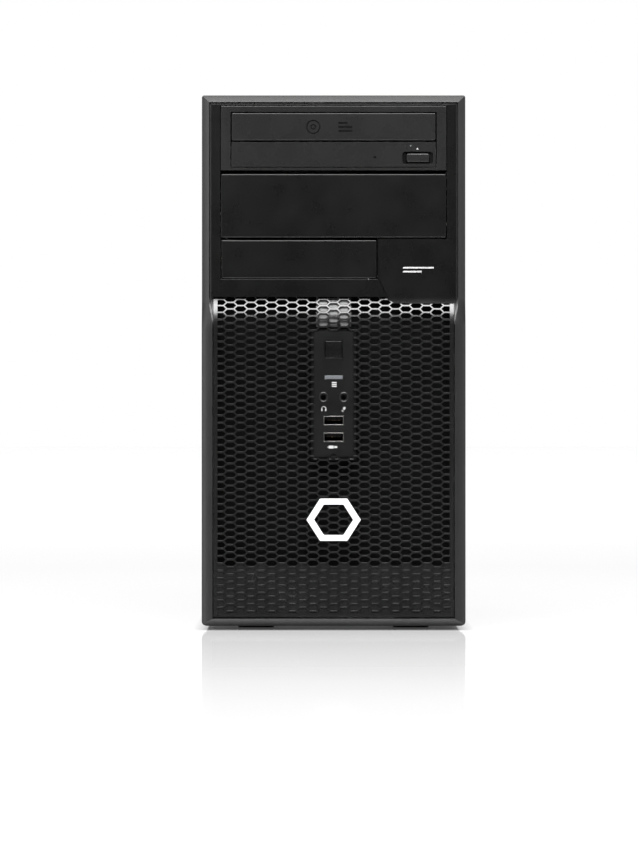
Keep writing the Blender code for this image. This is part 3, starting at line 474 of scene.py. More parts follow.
class Bench:
    """Modelling moves on one object at a time. Lengths are in millimetres."""

    @staticmethod
    def clear() -> None:
        """Leaves object mode with nothing selected."""
        if bpy.context.object and bpy.context.object.mode != "OBJECT":
            bpy.ops.object.mode_set(mode="OBJECT")
        bpy.ops.object.select_all(action="DESELECT")

    @staticmethod
    def name_and_settle(name: str) -> bpy.types.Object:
        """Names the new primitive and applies its place, turn and scale.

        Args:
            name: The name of the piece.

        Returns:
            The object that was just made.
        """
        obj = bpy.context.object
        obj.name = name
        obj.data.name = name
        bpy.ops.object.transform_apply(location=True, rotation=True, scale=True)
        return obj

    @staticmethod
    def cube(name: str, low: Sequence[float], high: Sequence[float]) -> bpy.types.Object:
        """Adds a box between two corners.

        Args:
            name: The object's name.
            low: The lowest corner.
            high: The highest corner.

        Returns:
            The object.
        """
        Bench.clear()
        low, high = Vector(low) * MM, Vector(high) * MM
        bpy.ops.mesh.primitive_cube_add(size=1, location=(low + high) / 2)
        bpy.context.object.scale = high - low
        return Bench.name_and_settle(name)

    @staticmethod
    def cylinder(
        name: str, centre: Sequence[float], radius: float, length: float, axis: Axis, sides: int = 32
    ) -> bpy.types.Object:
        """Adds a cylinder about its centre.

        Args:
            name: The object's name.
            centre: Its middle.
            radius: Its radius.
            length: Its length along the axis.
            axis: The way it points.
            sides: How many sides it has.

        Returns:
            The object.
        """
        Bench.clear()
        bpy.ops.mesh.primitive_cylinder_add(
            vertices=sides,
            radius=radius * MM,
            depth=length * MM,
            location=Vector(centre) * MM,
            rotation=axis.value,
        )
        return Bench.name_and_settle(name)

    @staticmethod
    def outline(name: str, points: Iterable[tuple[float, float]], y: float) -> bpy.types.Object:
        """Adds a flat face in a plane across Y, from a filled circle whose points are moved to an outline.

        Args:
            name: The object's name.
            points: The outline, as x and z, going round once.
            y: The plane's place.

        Returns:
            The object.
        """
        points = list(points)
        Bench.clear()
        bpy.ops.mesh.primitive_circle_add(vertices=len(points), radius=1, fill_type="NGON")
        obj = Bench.name_and_settle(name)
        for vert, (x, z) in zip(obj.data.vertices, points):
            vert.co = Vector((x, y, z)) * MM
        return obj

    @staticmethod
    def prism(name: str, points: Iterable[tuple[float, float]], y: float, depth: float) -> bpy.types.Object:
        """Adds a solid: an outline in x and z, drawn back along Y by a depth.

        Args:
            name: The name of the piece.
            points: The outline as x and z, in millimetres.
            y: The depth at which it starts.
            depth: How far it runs along y.

        Returns:
            The object.
        """
        solid = Bench.outline(name, points, y)
        Bench.pick_faces(solid, every_face)
        Bench.extrude((0, depth, 0))
        bpy.ops.mesh.select_all(action="SELECT")
        bpy.ops.mesh.normals_make_consistent(inside=False)
        Bench.done()
        return solid

    @staticmethod
    def torus(
        name: str, centre: Sequence[float], radius: float, tube: float, axis: Axis, sides: int = 48
    ) -> bpy.types.Object:
        """Adds a round ring about an axis.

        Args:
            name: The name of the piece.
            centre: Its middle, in millimetres.
            radius: Its radius, in millimetres.
            tube: The radius of the tube.
            axis: The axis it turns about.
            sides: How many sides it has.

        Returns:
            The object.
        """
        Bench.clear()
        bpy.ops.mesh.primitive_torus_add(
            major_radius=radius * MM,
            minor_radius=tube * MM,
            major_segments=sides,
            minor_segments=8,
            location=Vector(centre) * MM,
            rotation=axis.value,
        )
        return Bench.name_and_settle(name)

    @staticmethod
    def pick_faces(obj: bpy.types.Object, test: FaceTest) -> None:
        """Enters edit mode with the faces selected that pass a test.

        Args:
            obj: The object.
            test: Takes a face's centre in millimetres and its normal.
        """
        Bench.activate(obj)
        mesh = obj.data
        for item in (*mesh.vertices, *mesh.edges):
            item.select = False
        for face in mesh.polygons:
            face.select = test(face.center / MM, face.normal)
        bpy.context.tool_settings.mesh_select_mode = (False, False, True)
        bpy.ops.object.mode_set(mode="EDIT")

    @staticmethod
    def slice(
        obj: bpy.types.Object,
        at: Sequence[float],
        normal: Sequence[float],
        test: FaceTest = every_face,
        **settings: object,
    ) -> None:
        """Bisects faces along a plane.

        Args:
            obj: The object.
            at: A point of the plane.
            normal: The plane's normal.
            test: Picks the faces that are cut.
            settings: The bisect operator's other settings.
        """
        Bench.pick_faces(obj, test)
        bpy.ops.mesh.bisect(plane_co=Vector(at) * MM, plane_no=normal, **settings)
        Bench.done()

    @staticmethod
    def round_along(obj: bpy.types.Object, axis: int, radius: float, segments: int = 6) -> None:
        """Rounds the edges that run along an axis.

        Args:
            obj: The object.
            axis: 0 for X, 1 for Y and 2 for Z.
            radius: How round they become.
            segments: How many facets make the round.
        """
        Bench.pick_edges(obj, lambda a, b: abs(a[axis] - b[axis]) > 0.5)
        bpy.ops.mesh.bevel(offset=radius * MM, segments=segments, affect="EDGES")
        Bench.done()

    @staticmethod
    def array(
        obj: bpy.types.Object, count: int, step: Sequence[float], **settings: object
    ) -> bpy.types.Object:
        """Repeats an object at even steps.

        Args:
            obj: The object.
            count: How many there are in all.
            step: The move from each to the next.
            settings: Other settings of the modifier.

        Returns:
            The object.
        """
        offset = Vector(step) * MM
        settings.update(use_relative_offset=False, use_constant_offset=True)
        return Bench.modify(obj, "ARRAY", count=count, constant_offset_displace=offset, **settings)

    @staticmethod
    def second_finish(obj: bpy.types.Object, finish: Finish, test: FaceTest) -> None:
        """Gives some faces of a finished piece another finish.

        Args:
            obj: The piece.
            finish: The other finish.
            test: Picks the faces.
        """
        obj.data.materials.append(material_of(finish))
        for face in obj.data.polygons:
            if test(face.center / MM, face.normal):
                face.material_index = 1

    @staticmethod
    def pick_edges(obj: bpy.types.Object, test: EdgeTest) -> None:
        """Enters edit mode with the edges selected that pass a test.

        Args:
            obj: The object.
            test: Takes the edge's two ends in millimetres.
        """
        Bench.activate(obj)
        mesh = obj.data
        for item in (*mesh.vertices, *mesh.polygons):
            item.select = False
        for edge in mesh.edges:
            first, second = (mesh.vertices[index].co / MM for index in edge.vertices)
            edge.select = test(first, second)
        bpy.context.tool_settings.mesh_select_mode = (False, True, False)
        bpy.ops.object.mode_set(mode="EDIT")

    @staticmethod
    def activate(obj: bpy.types.Object) -> None:
        """Makes an object the only one selected, in object mode.

        Args:
            obj: The object.
        """
        Bench.clear()
        obj.select_set(True)
        bpy.context.view_layer.objects.active = obj

    @staticmethod
    def inset(thickness: float, depth: float = 0.0) -> None:
        """Insets the selected faces together, and moves them out by a depth."""
        bpy.ops.mesh.inset(thickness=thickness * MM, depth=depth * MM, use_even_offset=True)

    @staticmethod
    def extrude(way: Sequence[float]) -> None:
        """Extrudes the selected region along a vector."""
        move = {"value": Vector(way) * MM}
        bpy.ops.mesh.extrude_region_move(TRANSFORM_OT_translate=move)

    @staticmethod
    def done() -> None:
        """Returns to object mode."""
        bpy.ops.object.mode_set(mode="OBJECT")

    @staticmethod
    def modify(obj: bpy.types.Object, kind: str, **settings: object) -> bpy.types.Object:
        """Adds a modifier with these settings and applies it.

        Args:
            obj: The object.
            kind: The modifier's type.
            settings: Its properties.

        Returns:
            The object.
        """
        Bench.activate(obj)
        modifier = obj.modifiers.new(kind.title(), kind)
        for name, value in settings.items():
            setattr(modifier, name, value)
        bpy.ops.object.modifier_apply(modifier=modifier.name)
        return obj

    @staticmethod
    def soften(obj: bpy.types.Object, width: float, segments: int = 2, angle: float = 35) -> bpy.types.Object:
        """Rounds every edge sharper than an angle, in degrees.

        Args:
            obj: The object.
            width: How wide the rounded edge is, in millimetres.
            segments: How many steps the rounding has.
            angle: The least bend of an edge that is softened, in degrees.

        Returns:
            The object.
        """
        return Bench.modify(
            obj,
            "BEVEL",
            width=width * MM,
            segments=segments,
            limit_method="ANGLE",
            angle_limit=math.radians(angle),
            use_clamp_overlap=True,
        )

    @staticmethod
    def combine(obj: bpy.types.Object, tool: bpy.types.Object, operation: str) -> bpy.types.Object:
        """Applies a Boolean with a tool, which is then thrown away.

        Args:
            obj: The object that stays.
            tool: The other solid.
            operation: DIFFERENCE, UNION or INTERSECT.

        Returns:
            The object.
        """
        Bench.modify(obj, "BOOLEAN", object=tool, operation=operation, solver="EXACT")
        bpy.data.objects.remove(tool)
        return obj

    @staticmethod
    def cut(obj: bpy.types.Object, tool: bpy.types.Object) -> bpy.types.Object:
        """Takes a tool's shape out of the object."""
        return Bench.combine(obj, tool, "DIFFERENCE")

    @staticmethod
    def cut_box(obj: bpy.types.Object, low: Sequence[float], high: Sequence[float]) -> bpy.types.Object:
        """Takes a box out of the object."""
        return Bench.cut(obj, Bench.cube("tool", low, high))

    @staticmethod
    def merge(name: str, pieces: Sequence[bpy.types.Object]) -> bpy.types.Object:
        """Joins several objects into one mesh of separate shells.

        Args:
            name: The new name.
            pieces: The objects, of which the first stays.

        Returns:
            The joined object.
        """
        Bench.clear()
        for piece in pieces:
            piece.select_set(True)
        bpy.context.view_layer.objects.active = pieces[0]
        bpy.ops.object.join()
        pieces[0].name = name
        pieces[0].data.name = name
        return pieces[0]

    @staticmethod
    def copy(obj: bpy.types.Object, name: str, move: Sequence[float]) -> bpy.types.Object:
        """A copy with its own mesh, moved by a vector.

        Args:
            obj: The object.
            name: The name of the piece.
            move: How far the copy is moved.

        Returns:
            The copy.
        """
        twin = obj.copy()
        twin.data = obj.data.copy()
        twin.name = name
        twin.data.name = name
        bpy.context.scene.collection.objects.link(twin)
        twin.data.transform(Matrix.Translation(Vector(move) * MM))
        return twin

    @staticmethod
    def repeat(obj: bpy.types.Object, moves: Iterable[Sequence[float]]) -> bpy.types.Object:
        """Joins an object with moved copies of itself."""
        return Bench.merge(obj.name, [obj, *[Bench.copy(obj, "twin", move) for move in moves]])

    @staticmethod
    def screw(name: str, seat: Vector) -> bpy.types.Object:
        """A pan-head screw with a cross recess, facing the rear.

        Args:
            name: The name of the piece.
            seat: The point it sits on.

        Returns:
            The object.
        """
        head = Bench.cylinder(name, seat + Vector((0, 0.85, 0)), 3.3, 1.7, Axis.Y, 32)
        Bench.soften(head, 0.6, 3)
        for long, short in ((1.9, 0.4), (0.4, 1.9)):
            low = seat + Vector((-long, 0.7, -short))
            Bench.cut_box(head, low, seat + Vector((long, 3, short)))
        return head

    @staticmethod
    def socket(
        name: str, low: Sequence[float], high: Sequence[float], wall: float, finish: Finish, facing: int = -1
    ) -> bpy.types.Object:
        """A hollow connector shell whose inside faces are painted near black as painted shade.

        Args:
            name: The piece's name.
            low: Its lowest corner.
            high: Its highest corner.
            wall: How thick the shell is.
            finish: The shell's finish.
            facing: 1 where it opens to the rear, -1 where it opens to the front.

        Returns:
            The shell.
        """
        low, high = Vector(low), Vector(high)
        shell = Bench.cube(name, low, high)
        Bench.round_along(shell, 1, 0.5, 3)
        Bench.pick_faces(shell, lambda centre, normal: normal.y * facing > 0.9)
        Bench.inset(wall)
        Bench.extrude((0, -facing * (high.y - low.y - 1.5), 0))
        Bench.done()
        Bench.soften(shell, 0.1, 2, 50)
        Bench.finish(shell, finish)
        middle, half = (low + high) / 2, (high - low) / 2
        mouth = low.y if facing < 0 else high.y

        def inside(centre: Vector, normal: Vector) -> bool:
            """Whether a face is in the hollow, and not at its mouth."""
            spot = centre - middle
            within = abs(spot.x) < half.x - wall * 0.6 and abs(spot.z) < half.z - wall * 0.6
            return within and abs(centre.y - mouth) > 0.3

        # The faces inside the hollow are painted near black: painted shade, not the shell's own metal.
        Bench.second_finish(shell, Finish.BLACK_AND_SHADE, inside)
        return shell

    @staticmethod
    def refine(node: str, name: str, finish: Finish, width: float, body: str = CASE) -> bpy.types.Object:
        """A copy of a CAD node as clean flat faces with softened edges, which stands for the node.

        Args:
            node: The CAD node.
            name: The piece's name.
            finish: Its finish.
            width: How far its edges are rounded.
            body: The body that carries it.

        Returns:
            The piece.
        """
        source = frame["nodes"][node]
        obj = bpy.data.objects.new(name, source.data.copy())
        obj.data.name = name
        obj.data.transform(source.matrix_world)
        bpy.context.scene.collection.objects.link(obj)
        Bench.pick_faces(obj, every_face)
        bpy.ops.mesh.remove_doubles(threshold=0.000005)
        bpy.ops.mesh.dissolve_limited(angle_limit=math.radians(1))
        Bench.done()
        if width:
            Bench.soften(obj, width, 2)
        return Bench.finish(obj, finish, body, [node])

    @staticmethod
    def finish(
        obj: bpy.types.Object,
        finish: Finish,
        body: str = CASE,
        replaced: Sequence[str] = (),
        angle: float = 30,
    ) -> bpy.types.Object:
        """Shades a piece, gives it its material and lets it ride on its body.

        Args:
            obj: The piece.
            finish: Its finish.
            body: The body that carries it.
            replaced: The CAD nodes that it stands for.
            angle: Edges sharper than this stay sharp, in degrees.

        Returns:
            The piece.
        """
        Bench.activate(obj)
        bpy.ops.object.shade_smooth_by_angle(angle=math.radians(angle))
        Bench.modify(obj, "WEIGHTED_NORMAL", keep_sharp=True)
        obj.data.materials.clear()
        obj.data.materials.append(material_of(finish))
        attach(obj, body)
        if replaced:
            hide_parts(*replaced)
        LOG.info("%s: %s", obj.name, finish.name.lower())
        return obj


def dress_node(node: str, finish: Finish) -> None:
    """Gives a CAD node a finish.

    Args:
        node: The node of the frame.
        finish: The finish it wears.
    """
    obj = frame["nodes"][node]
    obj.data.materials.clear()
    obj.data.materials.append(material_of(finish))


# The front


@dataclass
class Grille:
    """The pierced plate: a honeycomb of flattened hexagons, blind near the floor, curved back at the top."""

    half: float = 79.7
    holes_half: float = 77.2
    low: float = 8.6
    blind_top: float = 40.4
    shoulder: float = 201.0
    bend: float = 0.0172
    lip: float = 220.5
    lip_right: float = 216.2
    pitch_x: float = 6.85
    pitch_z: float = 4.9
    web: float = 0.40
    chamfer: float = 0.26
    thick: float = 1.5
    face: float = field(default_factory=lambda: box_mm("front_grille")[0].y)
    top: float = field(default_factory=lambda: box_mm("front_grille")[1].z)

    def cell(self, name: str, blind: bool) -> bpy.types.Object:
        """One tile of the pattern, lying in the grille's plane about x = 0, z = 0.

        Args:
            name: The tile's name.
            blind: True for a shallow dimple in place of a hole.

        Returns:
            The tile.
        """
        reach = self.pitch_x / 1.5
        rows = self.pitch_z / 2
        corners = [(reach * x, rows * z) for x, z in HEXAGON]
        tile = Bench.outline(name, corners, self.face)
        Bench.pick_faces(tile, every_face)
        bpy.ops.mesh.normals_make_consistent(inside=False)
        if tile.data.polygons[0].normal.y > 0:
            bpy.ops.mesh.flip_normals()
        Bench.inset(self.web)
        Bench.inset(self.chamfer, -self.chamfer)
        if blind:
            Bench.inset(0.1, -0.5)
        else:
            bpy.ops.mesh.delete(type="FACE")
        Bench.done()
        return tile

    def field_of(self, tile: bpy.types.Object, first_row: int, rows: int) -> bpy.types.Object:
        """Repeats a tile over the whole width and a run of rows.

        Args:
            tile: The tile.
            first_row: The lowest row's number, counted from z = 0.
            rows: How many rows there are.

        Returns:
            The tiled sheet.
        """
        columns = 2 * math.ceil(self.holes_half / (2 * self.pitch_x)) + 1
        start = -(columns // 2) * 2 * self.pitch_x
        twin = Bench.copy(tile, "twin", (self.pitch_x, 0, self.pitch_z / 2))
        pair = Bench.merge(tile.name, [tile, twin])
        pair.data.transform(Matrix.Translation(Vector((start, 0, first_row * self.pitch_z)) * MM))
        for count, step in ((columns, (2 * self.pitch_x, 0, 0)), (rows, (0, 0, self.pitch_z))):
            Bench.array(pair, count, step, use_merge_vertices=True, merge_threshold=0.00002)
        return pair

    def trim(self, sheet: bpy.types.Object, at: Sequence[float], normal: Sequence[float]) -> None:
        """Bisects the sheet and clears the side that the normal points to."""
        Bench.slice(sheet, at, normal, clear_outer=True, threshold=BISECT)

    def border(self, name: str, left: float, right: float, low: float, high: float) -> bpy.types.Object:
        """A plain strip of the plate, cut across often enough to follow the shoulder.

        Args:
            name: The name of the piece.
            left: The left end, in x.
            right: The right end, in x.
            low: The lower end, in z.
            high: The upper end, in z.

        Returns:
            The object.
        """
        Bench.clear()
        middle = Vector(((left + right) / 2, self.face, (low + high) / 2)) * MM
        bpy.ops.mesh.primitive_grid_add(
            x_subdivisions=1,
            y_subdivisions=max(1, round((high - low) / 2.45)),
            size=1,
            location=middle,
            rotation=(math.pi / 2, 0, 0),
        )
        bpy.context.object.scale = ((right - left) * MM, (high - low) * MM, 1)
        return Bench.name_and_settle(name)

    def depth_at(self, z: float) -> float:
        """How far the shoulder has moved back at a height."""
        return self.bend * max(0.0, z - self.shoulder) ** 2

    def profile(self, height: float) -> tuple[float, float]:
        """Where a height on the flat plate lies once the top is curved back, as y and z.

        Args:
            height: The distance along the plate from the floor.

        Returns:
            The place on the curved plate.
        """
        z = min(height, self.shoulder)
        step = 0.25
        left = height - z
        while left > 0:
            move = min(step, left)
            slope = (self.depth_at(z + step) - self.depth_at(z)) / step
            z += move / math.hypot(1, slope)
            left -= move
        return self.face + self.depth_at(z), z

    def build(self) -> None:
        """Makes the plate and its dark lining."""
        arc_top = self.top + 3
        blind_rows = math.ceil(self.blind_top / self.pitch_z)
        rows = math.ceil(arc_top / self.pitch_z) - blind_rows
        open_part = self.field_of(self.cell("open_cells", False), blind_rows, rows + 1)
        blind_part = self.field_of(self.cell("blind_cells", True), 1, blind_rows - 1)
        plate = Bench.merge("grille_plate", [open_part, blind_part])
        Bench.pick_faces(plate, every_face)
        bpy.ops.mesh.remove_doubles(threshold=0.00003)
        Bench.done()
        for at, normal in (
            ((self.holes_half, 0, 0), (1, 0, 0)),
            ((-self.holes_half, 0, 0), (-1, 0, 0)),
            ((0, 0, arc_top), (0, 0, 1)),
            ((0, 0, self.low + 2.4), (0, 0, -1)),
        ):
            self.trim(plate, at, normal)
        overlap = 0.15
        strips = [
            self.border("left_border", -self.half, -self.holes_half + overlap, self.low, arc_top),
            self.border("right_border", self.holes_half - overlap, self.half, self.low, arc_top),
            self.border("foot_border", -self.holes_half, self.holes_half, self.low, self.low + 2.4 + overlap),
        ]
        plate = Bench.merge("grille_plate", [plate, *strips])
        for vert in plate.data.vertices:
            y, z = self.profile(vert.co.z / MM)
            vert.co = Vector((vert.co.x, vert.co.y + (y - self.face) * MM, z * MM))
        self.window(plate)
        self.follow_lip(plate)
        Bench.modify(plate, "SOLIDIFY", thickness=self.thick * MM, offset=-1, use_even_offset=False)
        Bench.finish(plate, Finish.MESH, replaced=["front_grille"], angle=20)
        self.lining()

    def window(self, plate: bpy.types.Object) -> None:
        """Clears the plate where the connector panel stands in it.

        Args:
            plate: The plate, changed in place.
        """
        low, high = box_mm("io_panel")
        gap = 0.3
        left, right = low.x - gap, high.x + gap
        bottom, top = low.z - gap, high.z + gap
        for at, normal in (
            ((left, 0, 0), (1, 0, 0)),
            ((right, 0, 0), (1, 0, 0)),
            ((0, 0, bottom), (0, 0, 1)),
            ((0, 0, top), (0, 0, 1)),
        ):
            Bench.slice(plate, at, normal, threshold=BISECT)
        Bench.pick_faces(plate, lambda centre, normal: left < centre.x < right and bottom < centre.z < top)
        bpy.ops.mesh.delete(type="FACE")
        Bench.done()

    def follow_lip(self, plate: bpy.types.Object) -> None:
        """Clears the plate above the upper panel's edge, which drops by a slant on the right.

        Args:
            plate: The plate, changed in place.
        """
        drop = self.lip - self.lip_right
        slant = (34.8, 40.4)
        run = slant[1] - slant[0]
        for at, normal in (
            ((0, 0, self.lip), (0, 0, 1)),
            ((0, 0, self.lip_right), (0, 0, 1)),
            ((slant[0], 0, self.lip), Vector((drop, 0, run)).normalized()),
        ):
            Bench.slice(plate, at, normal, lambda centre, _: centre.z > self.lip_right - 12, threshold=BISECT)

        def above(centre: Vector, normal: Vector) -> bool:
            """Whether a face lies above the edge."""
            share = min(1.0, max(0.0, (centre.x - slant[0]) / run))
            return centre.z > self.lip - drop * share

        Bench.pick_faces(plate, above)
        bpy.ops.mesh.delete(type="FACE")
        Bench.done()

    def lining(self) -> None:
        """The fine filter sheet behind the holes, and the carrier that holds the connector panel; both are
        real parts whose near-black finish also stands in for painted shade behind the grille.
        """
        behind = self.face + 14
        low, high = box_mm("io_panel")
        side = 14.6
        filter_high = (self.holes_half, behind + 1.5, 228)
        sheet = Bench.cube("dust_filter", (-self.holes_half, behind, 12), filter_high)
        Bench.cut_box(sheet, (0.5 - side, behind - 1, low.z - 2.5), (side - 0.5, behind + 3, high.z + 2.5))
        # Near black: a real filter sheet, and also painted shade for the inside seen through the holes.
        Bench.finish(sheet, Finish.BLACK_AND_SHADE)
        wall = 1.2
        start = self.face + self.thick + 0.4
        carrier = Bench.cube("connector_carrier", (-side, start, low.z - 3), (side, behind + 2.5, high.z + 3))
        Bench.cut_box(
            carrier,
            (-side + wall, start - 1, low.z - 3 + wall),
            (side - wall, behind + 4, high.z + 3 - wall),
        )
        Bench.soften(carrier, 0.3, 2)
        # Near black: a real carrier, and also painted shade in the gaps round the connector panel.
        Bench.finish(carrier, Finish.BLACK_AND_SHADE)
        fin = self.border("carrier_fin", -11.6, 11.6, high.z + 3.4, self.lip + 1)
        for vert in fin.data.vertices:
            y, z = self.profile(vert.co.z / MM)
            vert.co = Vector((vert.co.x, (y + self.thick + 0.6) * MM, z * MM))
        Bench.modify(fin, "SOLIDIFY", thickness=1.0 * MM, offset=-1)
        Bench.finish(fin, Finish.FIN)


@dataclass
class Bezel:
    """The front moulding: mitred rim, upper panel, bay openings and the frame round the grille."""

    half: float = 87.5
    low: float = 2.6
    high: float = 354.8
    back: float = -175.3
    side_front: float = -199.4
    panel_face: float = -203.4
    wall: float = 2.6
    step: float = 6.0
    shoulder_low: float = 199.0
    shoulder_high: float = 221.0
    lip: float = 220.8
    lip_right: float = 216.5
    widening: float = 2.5

    def build(self) -> None:
        """Makes the moulding."""
        low = (-self.half, self.side_front, self.low)
        shell = Bench.cube("bezel_shell", low, (self.half, self.back, self.high))
        self.face_rings(shell)
        self.round_corners(shell)
        self.swell(shell)
        self.open_up(shell)
        Bench.finish(shell, Finish.SATIN, replaced=["front_bezel"], angle=24)

        def on_rim(centre: Vector, normal: Vector) -> bool:
            """Whether a face is part of the rim, on the outside."""
            outer = abs(centre.x) > 80.6 or centre.z > 350.2 or centre.z < 7.6
            return outer and centre.y < self.back - 2

        Bench.second_finish(shell, Finish.RIM, on_rim)

    def round_corners(self, shell: bpy.types.Object) -> None:
        """Trims the four corners round as seen from the front, a little more at the bottom.

        Args:
            shell: The shell, changed in place.
        """
        for end, up, radius in ((self.high, 1, 1.6), (self.low, -1, 3.2)):
            for side in (-1, 1):
                centre = Vector((side * (self.half - radius), 0, end - up * radius))
                for angle in map(math.radians, (15, 30, 45, 60, 75)):
                    way = Vector((side * math.cos(angle), 0, up * math.sin(angle)))
                    Bench.slice(shell, centre + way * radius, way, clear_outer=True, use_fill=True)

    def face_rings(self, shell: bpy.types.Object) -> None:
        """Insets the face into the two facets of the rim, the fine groove inside it and the panel.

        Args:
            shell: The shell, changed in place.
        """
        Bench.pick_faces(shell, lambda centre, normal: normal.y < -0.9)
        for thickness, depth in (
            (0.25, 0.4),
            (2.1, 2.0),
            (2.3, 1.6),
            (0.3, 0.0),
            (0.1, -0.9),
            (0.1, -0.9),
            (0.5, 0.0),
            (0.1, 0.9),
            (0.1, 0.75),
            (0.25, 0.15),
        ):
            Bench.inset(thickness, depth)
        Bench.done()

    def swell(self, shell: bpy.types.Object) -> None:
        """Moves the lower half forward in a soft shoulder, and widens its rim.

        Args:
            shell: The shell, changed in place.
        """
        steps = 10
        for step in range(steps + 1):
            level = self.shoulder_low + (self.shoulder_high - self.shoulder_low) * step / steps
            Bench.slice(shell, (0, 0, level), (0, 0, 1))
        front = self.side_front + 1
        for vert in shell.data.vertices:
            spot = vert.co / MM
            share = (self.shoulder_high - spot.z) / (self.shoulder_high - self.shoulder_low)
            ease = (1 - math.cos(math.pi * min(1.0, max(0.0, share)))) / 2
            if spot.y > front:
                continue
            spot.y -= self.step * ease
            if 76 < abs(spot.x) < 83.2:
                spot.x -= math.copysign(self.widening * ease, spot.x)
            elif 84 < abs(spot.x) < 86:
                spot.x -= math.copysign(0.3 * ease, spot.x)
            vert.co = spot * MM

    def open_up(self, shell: bpy.types.Object) -> None:
        """Hollows the moulding and cuts its bays and the grille's opening.

        Args:
            shell: The shell, changed in place.
        """
        inner = self.half - self.wall
        front_low = self.panel_face - self.step
        room_low = (-inner, front_low + self.wall, self.low + self.wall)
        Bench.cut_box(shell, room_low, (inner, self.back + 1, self.shoulder_low))
        room_high = (inner, self.back + 1.2, self.high - self.wall)
        Bench.cut_box(shell, (-inner, self.panel_face + self.wall, self.shoulder_low - 8), room_high)
        lip_room = (inner - 4, self.panel_face + self.wall + 1, self.lip + 6)
        Bench.cut_box(shell, (-inner + 4, self.panel_face + 1.2, self.shoulder_low), lip_room)
        gap = 0.3
        out = front_low - 8
        behind = self.panel_face + 6
        odd_low, odd_high = box_mm("odd_bezel_frame")
        cover_low, _ = box_mm("bay_cover_525")
        bays_low = (odd_low.x - gap, out, cover_low.z - gap)
        Bench.cut_box(shell, bays_low, (odd_high.x + gap, behind, odd_high.z + gap))
        small_low, small_high = box_mm("bay_cover_35")
        bay_low = (small_low.x - gap, out, small_low.z - gap)
        Bench.cut_box(shell, bay_low, (small_high.x + gap, behind, cover_low.z))
        side = 80.0
        outline = [(-side, 8.3), (side, 8.3), (side, self.lip_right), (40.4, self.lip_right)]
        outline += [(34.8, self.lip), (-side, self.lip)]
        mouth = Bench.prism("tool", outline, out, behind - out)
        Bench.cut(shell, mouth)
        self.ease_edges(shell)
        face = self.panel_face - 1
        groove = 0.55
        for low, high in (
            ((29.2, face, 232.5), (29.2 + groove, face + 1.9, 259.7)),
            ((29.2, face, 259.7 - groove), (75.2, face + 1.9, 259.7)),
        ):
            Bench.cut_box(shell, low, high)
        slant = [(29.2, 233.2), (29.9, 233.2), (36.6, 220.0), (34.6, 219.8)]
        Bench.cut(shell, Bench.prism("tool", slant, face, 1.8))

    def ease_edges(self, shell: bpy.types.Object) -> None:
        """Rounds the edges of the bays and the lip above the grille.

        Args:
            shell: The shell, changed in place.
        """
        level = self.panel_face

        def on_face(point: Vector) -> bool:
            """Whether a point is on the upper panel's face and round an opening."""
            return abs(point.y - level) < 0.62 and abs(point.x) < 80.5 and 216 < point.z < 348.5

        def on_edge(a: Vector, b: Vector) -> bool:
            """Whether an edge runs along an opening, and not across the open panel."""
            if not (on_face(a) and on_face(b)):
                return False
            middle = (a + b) / 2
            upright = abs(a.x - b.x) < 0.05
            if upright:
                near = min(abs(abs(middle.x) - 75.3), abs(middle.x - 29.1)) < 0.3
                return near and middle.z > 232
            level_run = abs(a.z - b.z) < 0.05
            if level_run:
                return min(abs(middle.z - z) for z in (232.5, 259.6, 347.9, self.lip, self.lip_right)) < 0.35
            return 34 < middle.x < 41 and middle.z < 222

        Bench.pick_edges(shell, on_edge)
        bpy.ops.mesh.bevel(offset=0.5 * MM, segments=2, affect="EDGES", clamp_overlap=True)
        Bench.done()


@dataclass
class Cover:
    """A blank bay cover or a drive's front plate, with softened edges."""

    node: str
    name: str
    chamfer: float = 0.85
    gap: float = 0.3

    def build(self) -> bpy.types.Object:
        """Makes the cover.

        Returns:
            The cover.
        """
        low, high = box_mm(self.node)
        room = Vector((self.gap, 0, self.gap))
        plate = Bench.cube(self.name, low + room, high - room)
        Bench.pick_faces(plate, lambda centre, normal: normal.y > 0.9)
        Bench.inset(1.6)
        Bench.extrude((0, -1.5, 0))
        Bench.done()
        Bench.soften(plate, self.chamfer, 3)
        return Bench.finish(plate, Finish.COVER, replaced=[self.node])


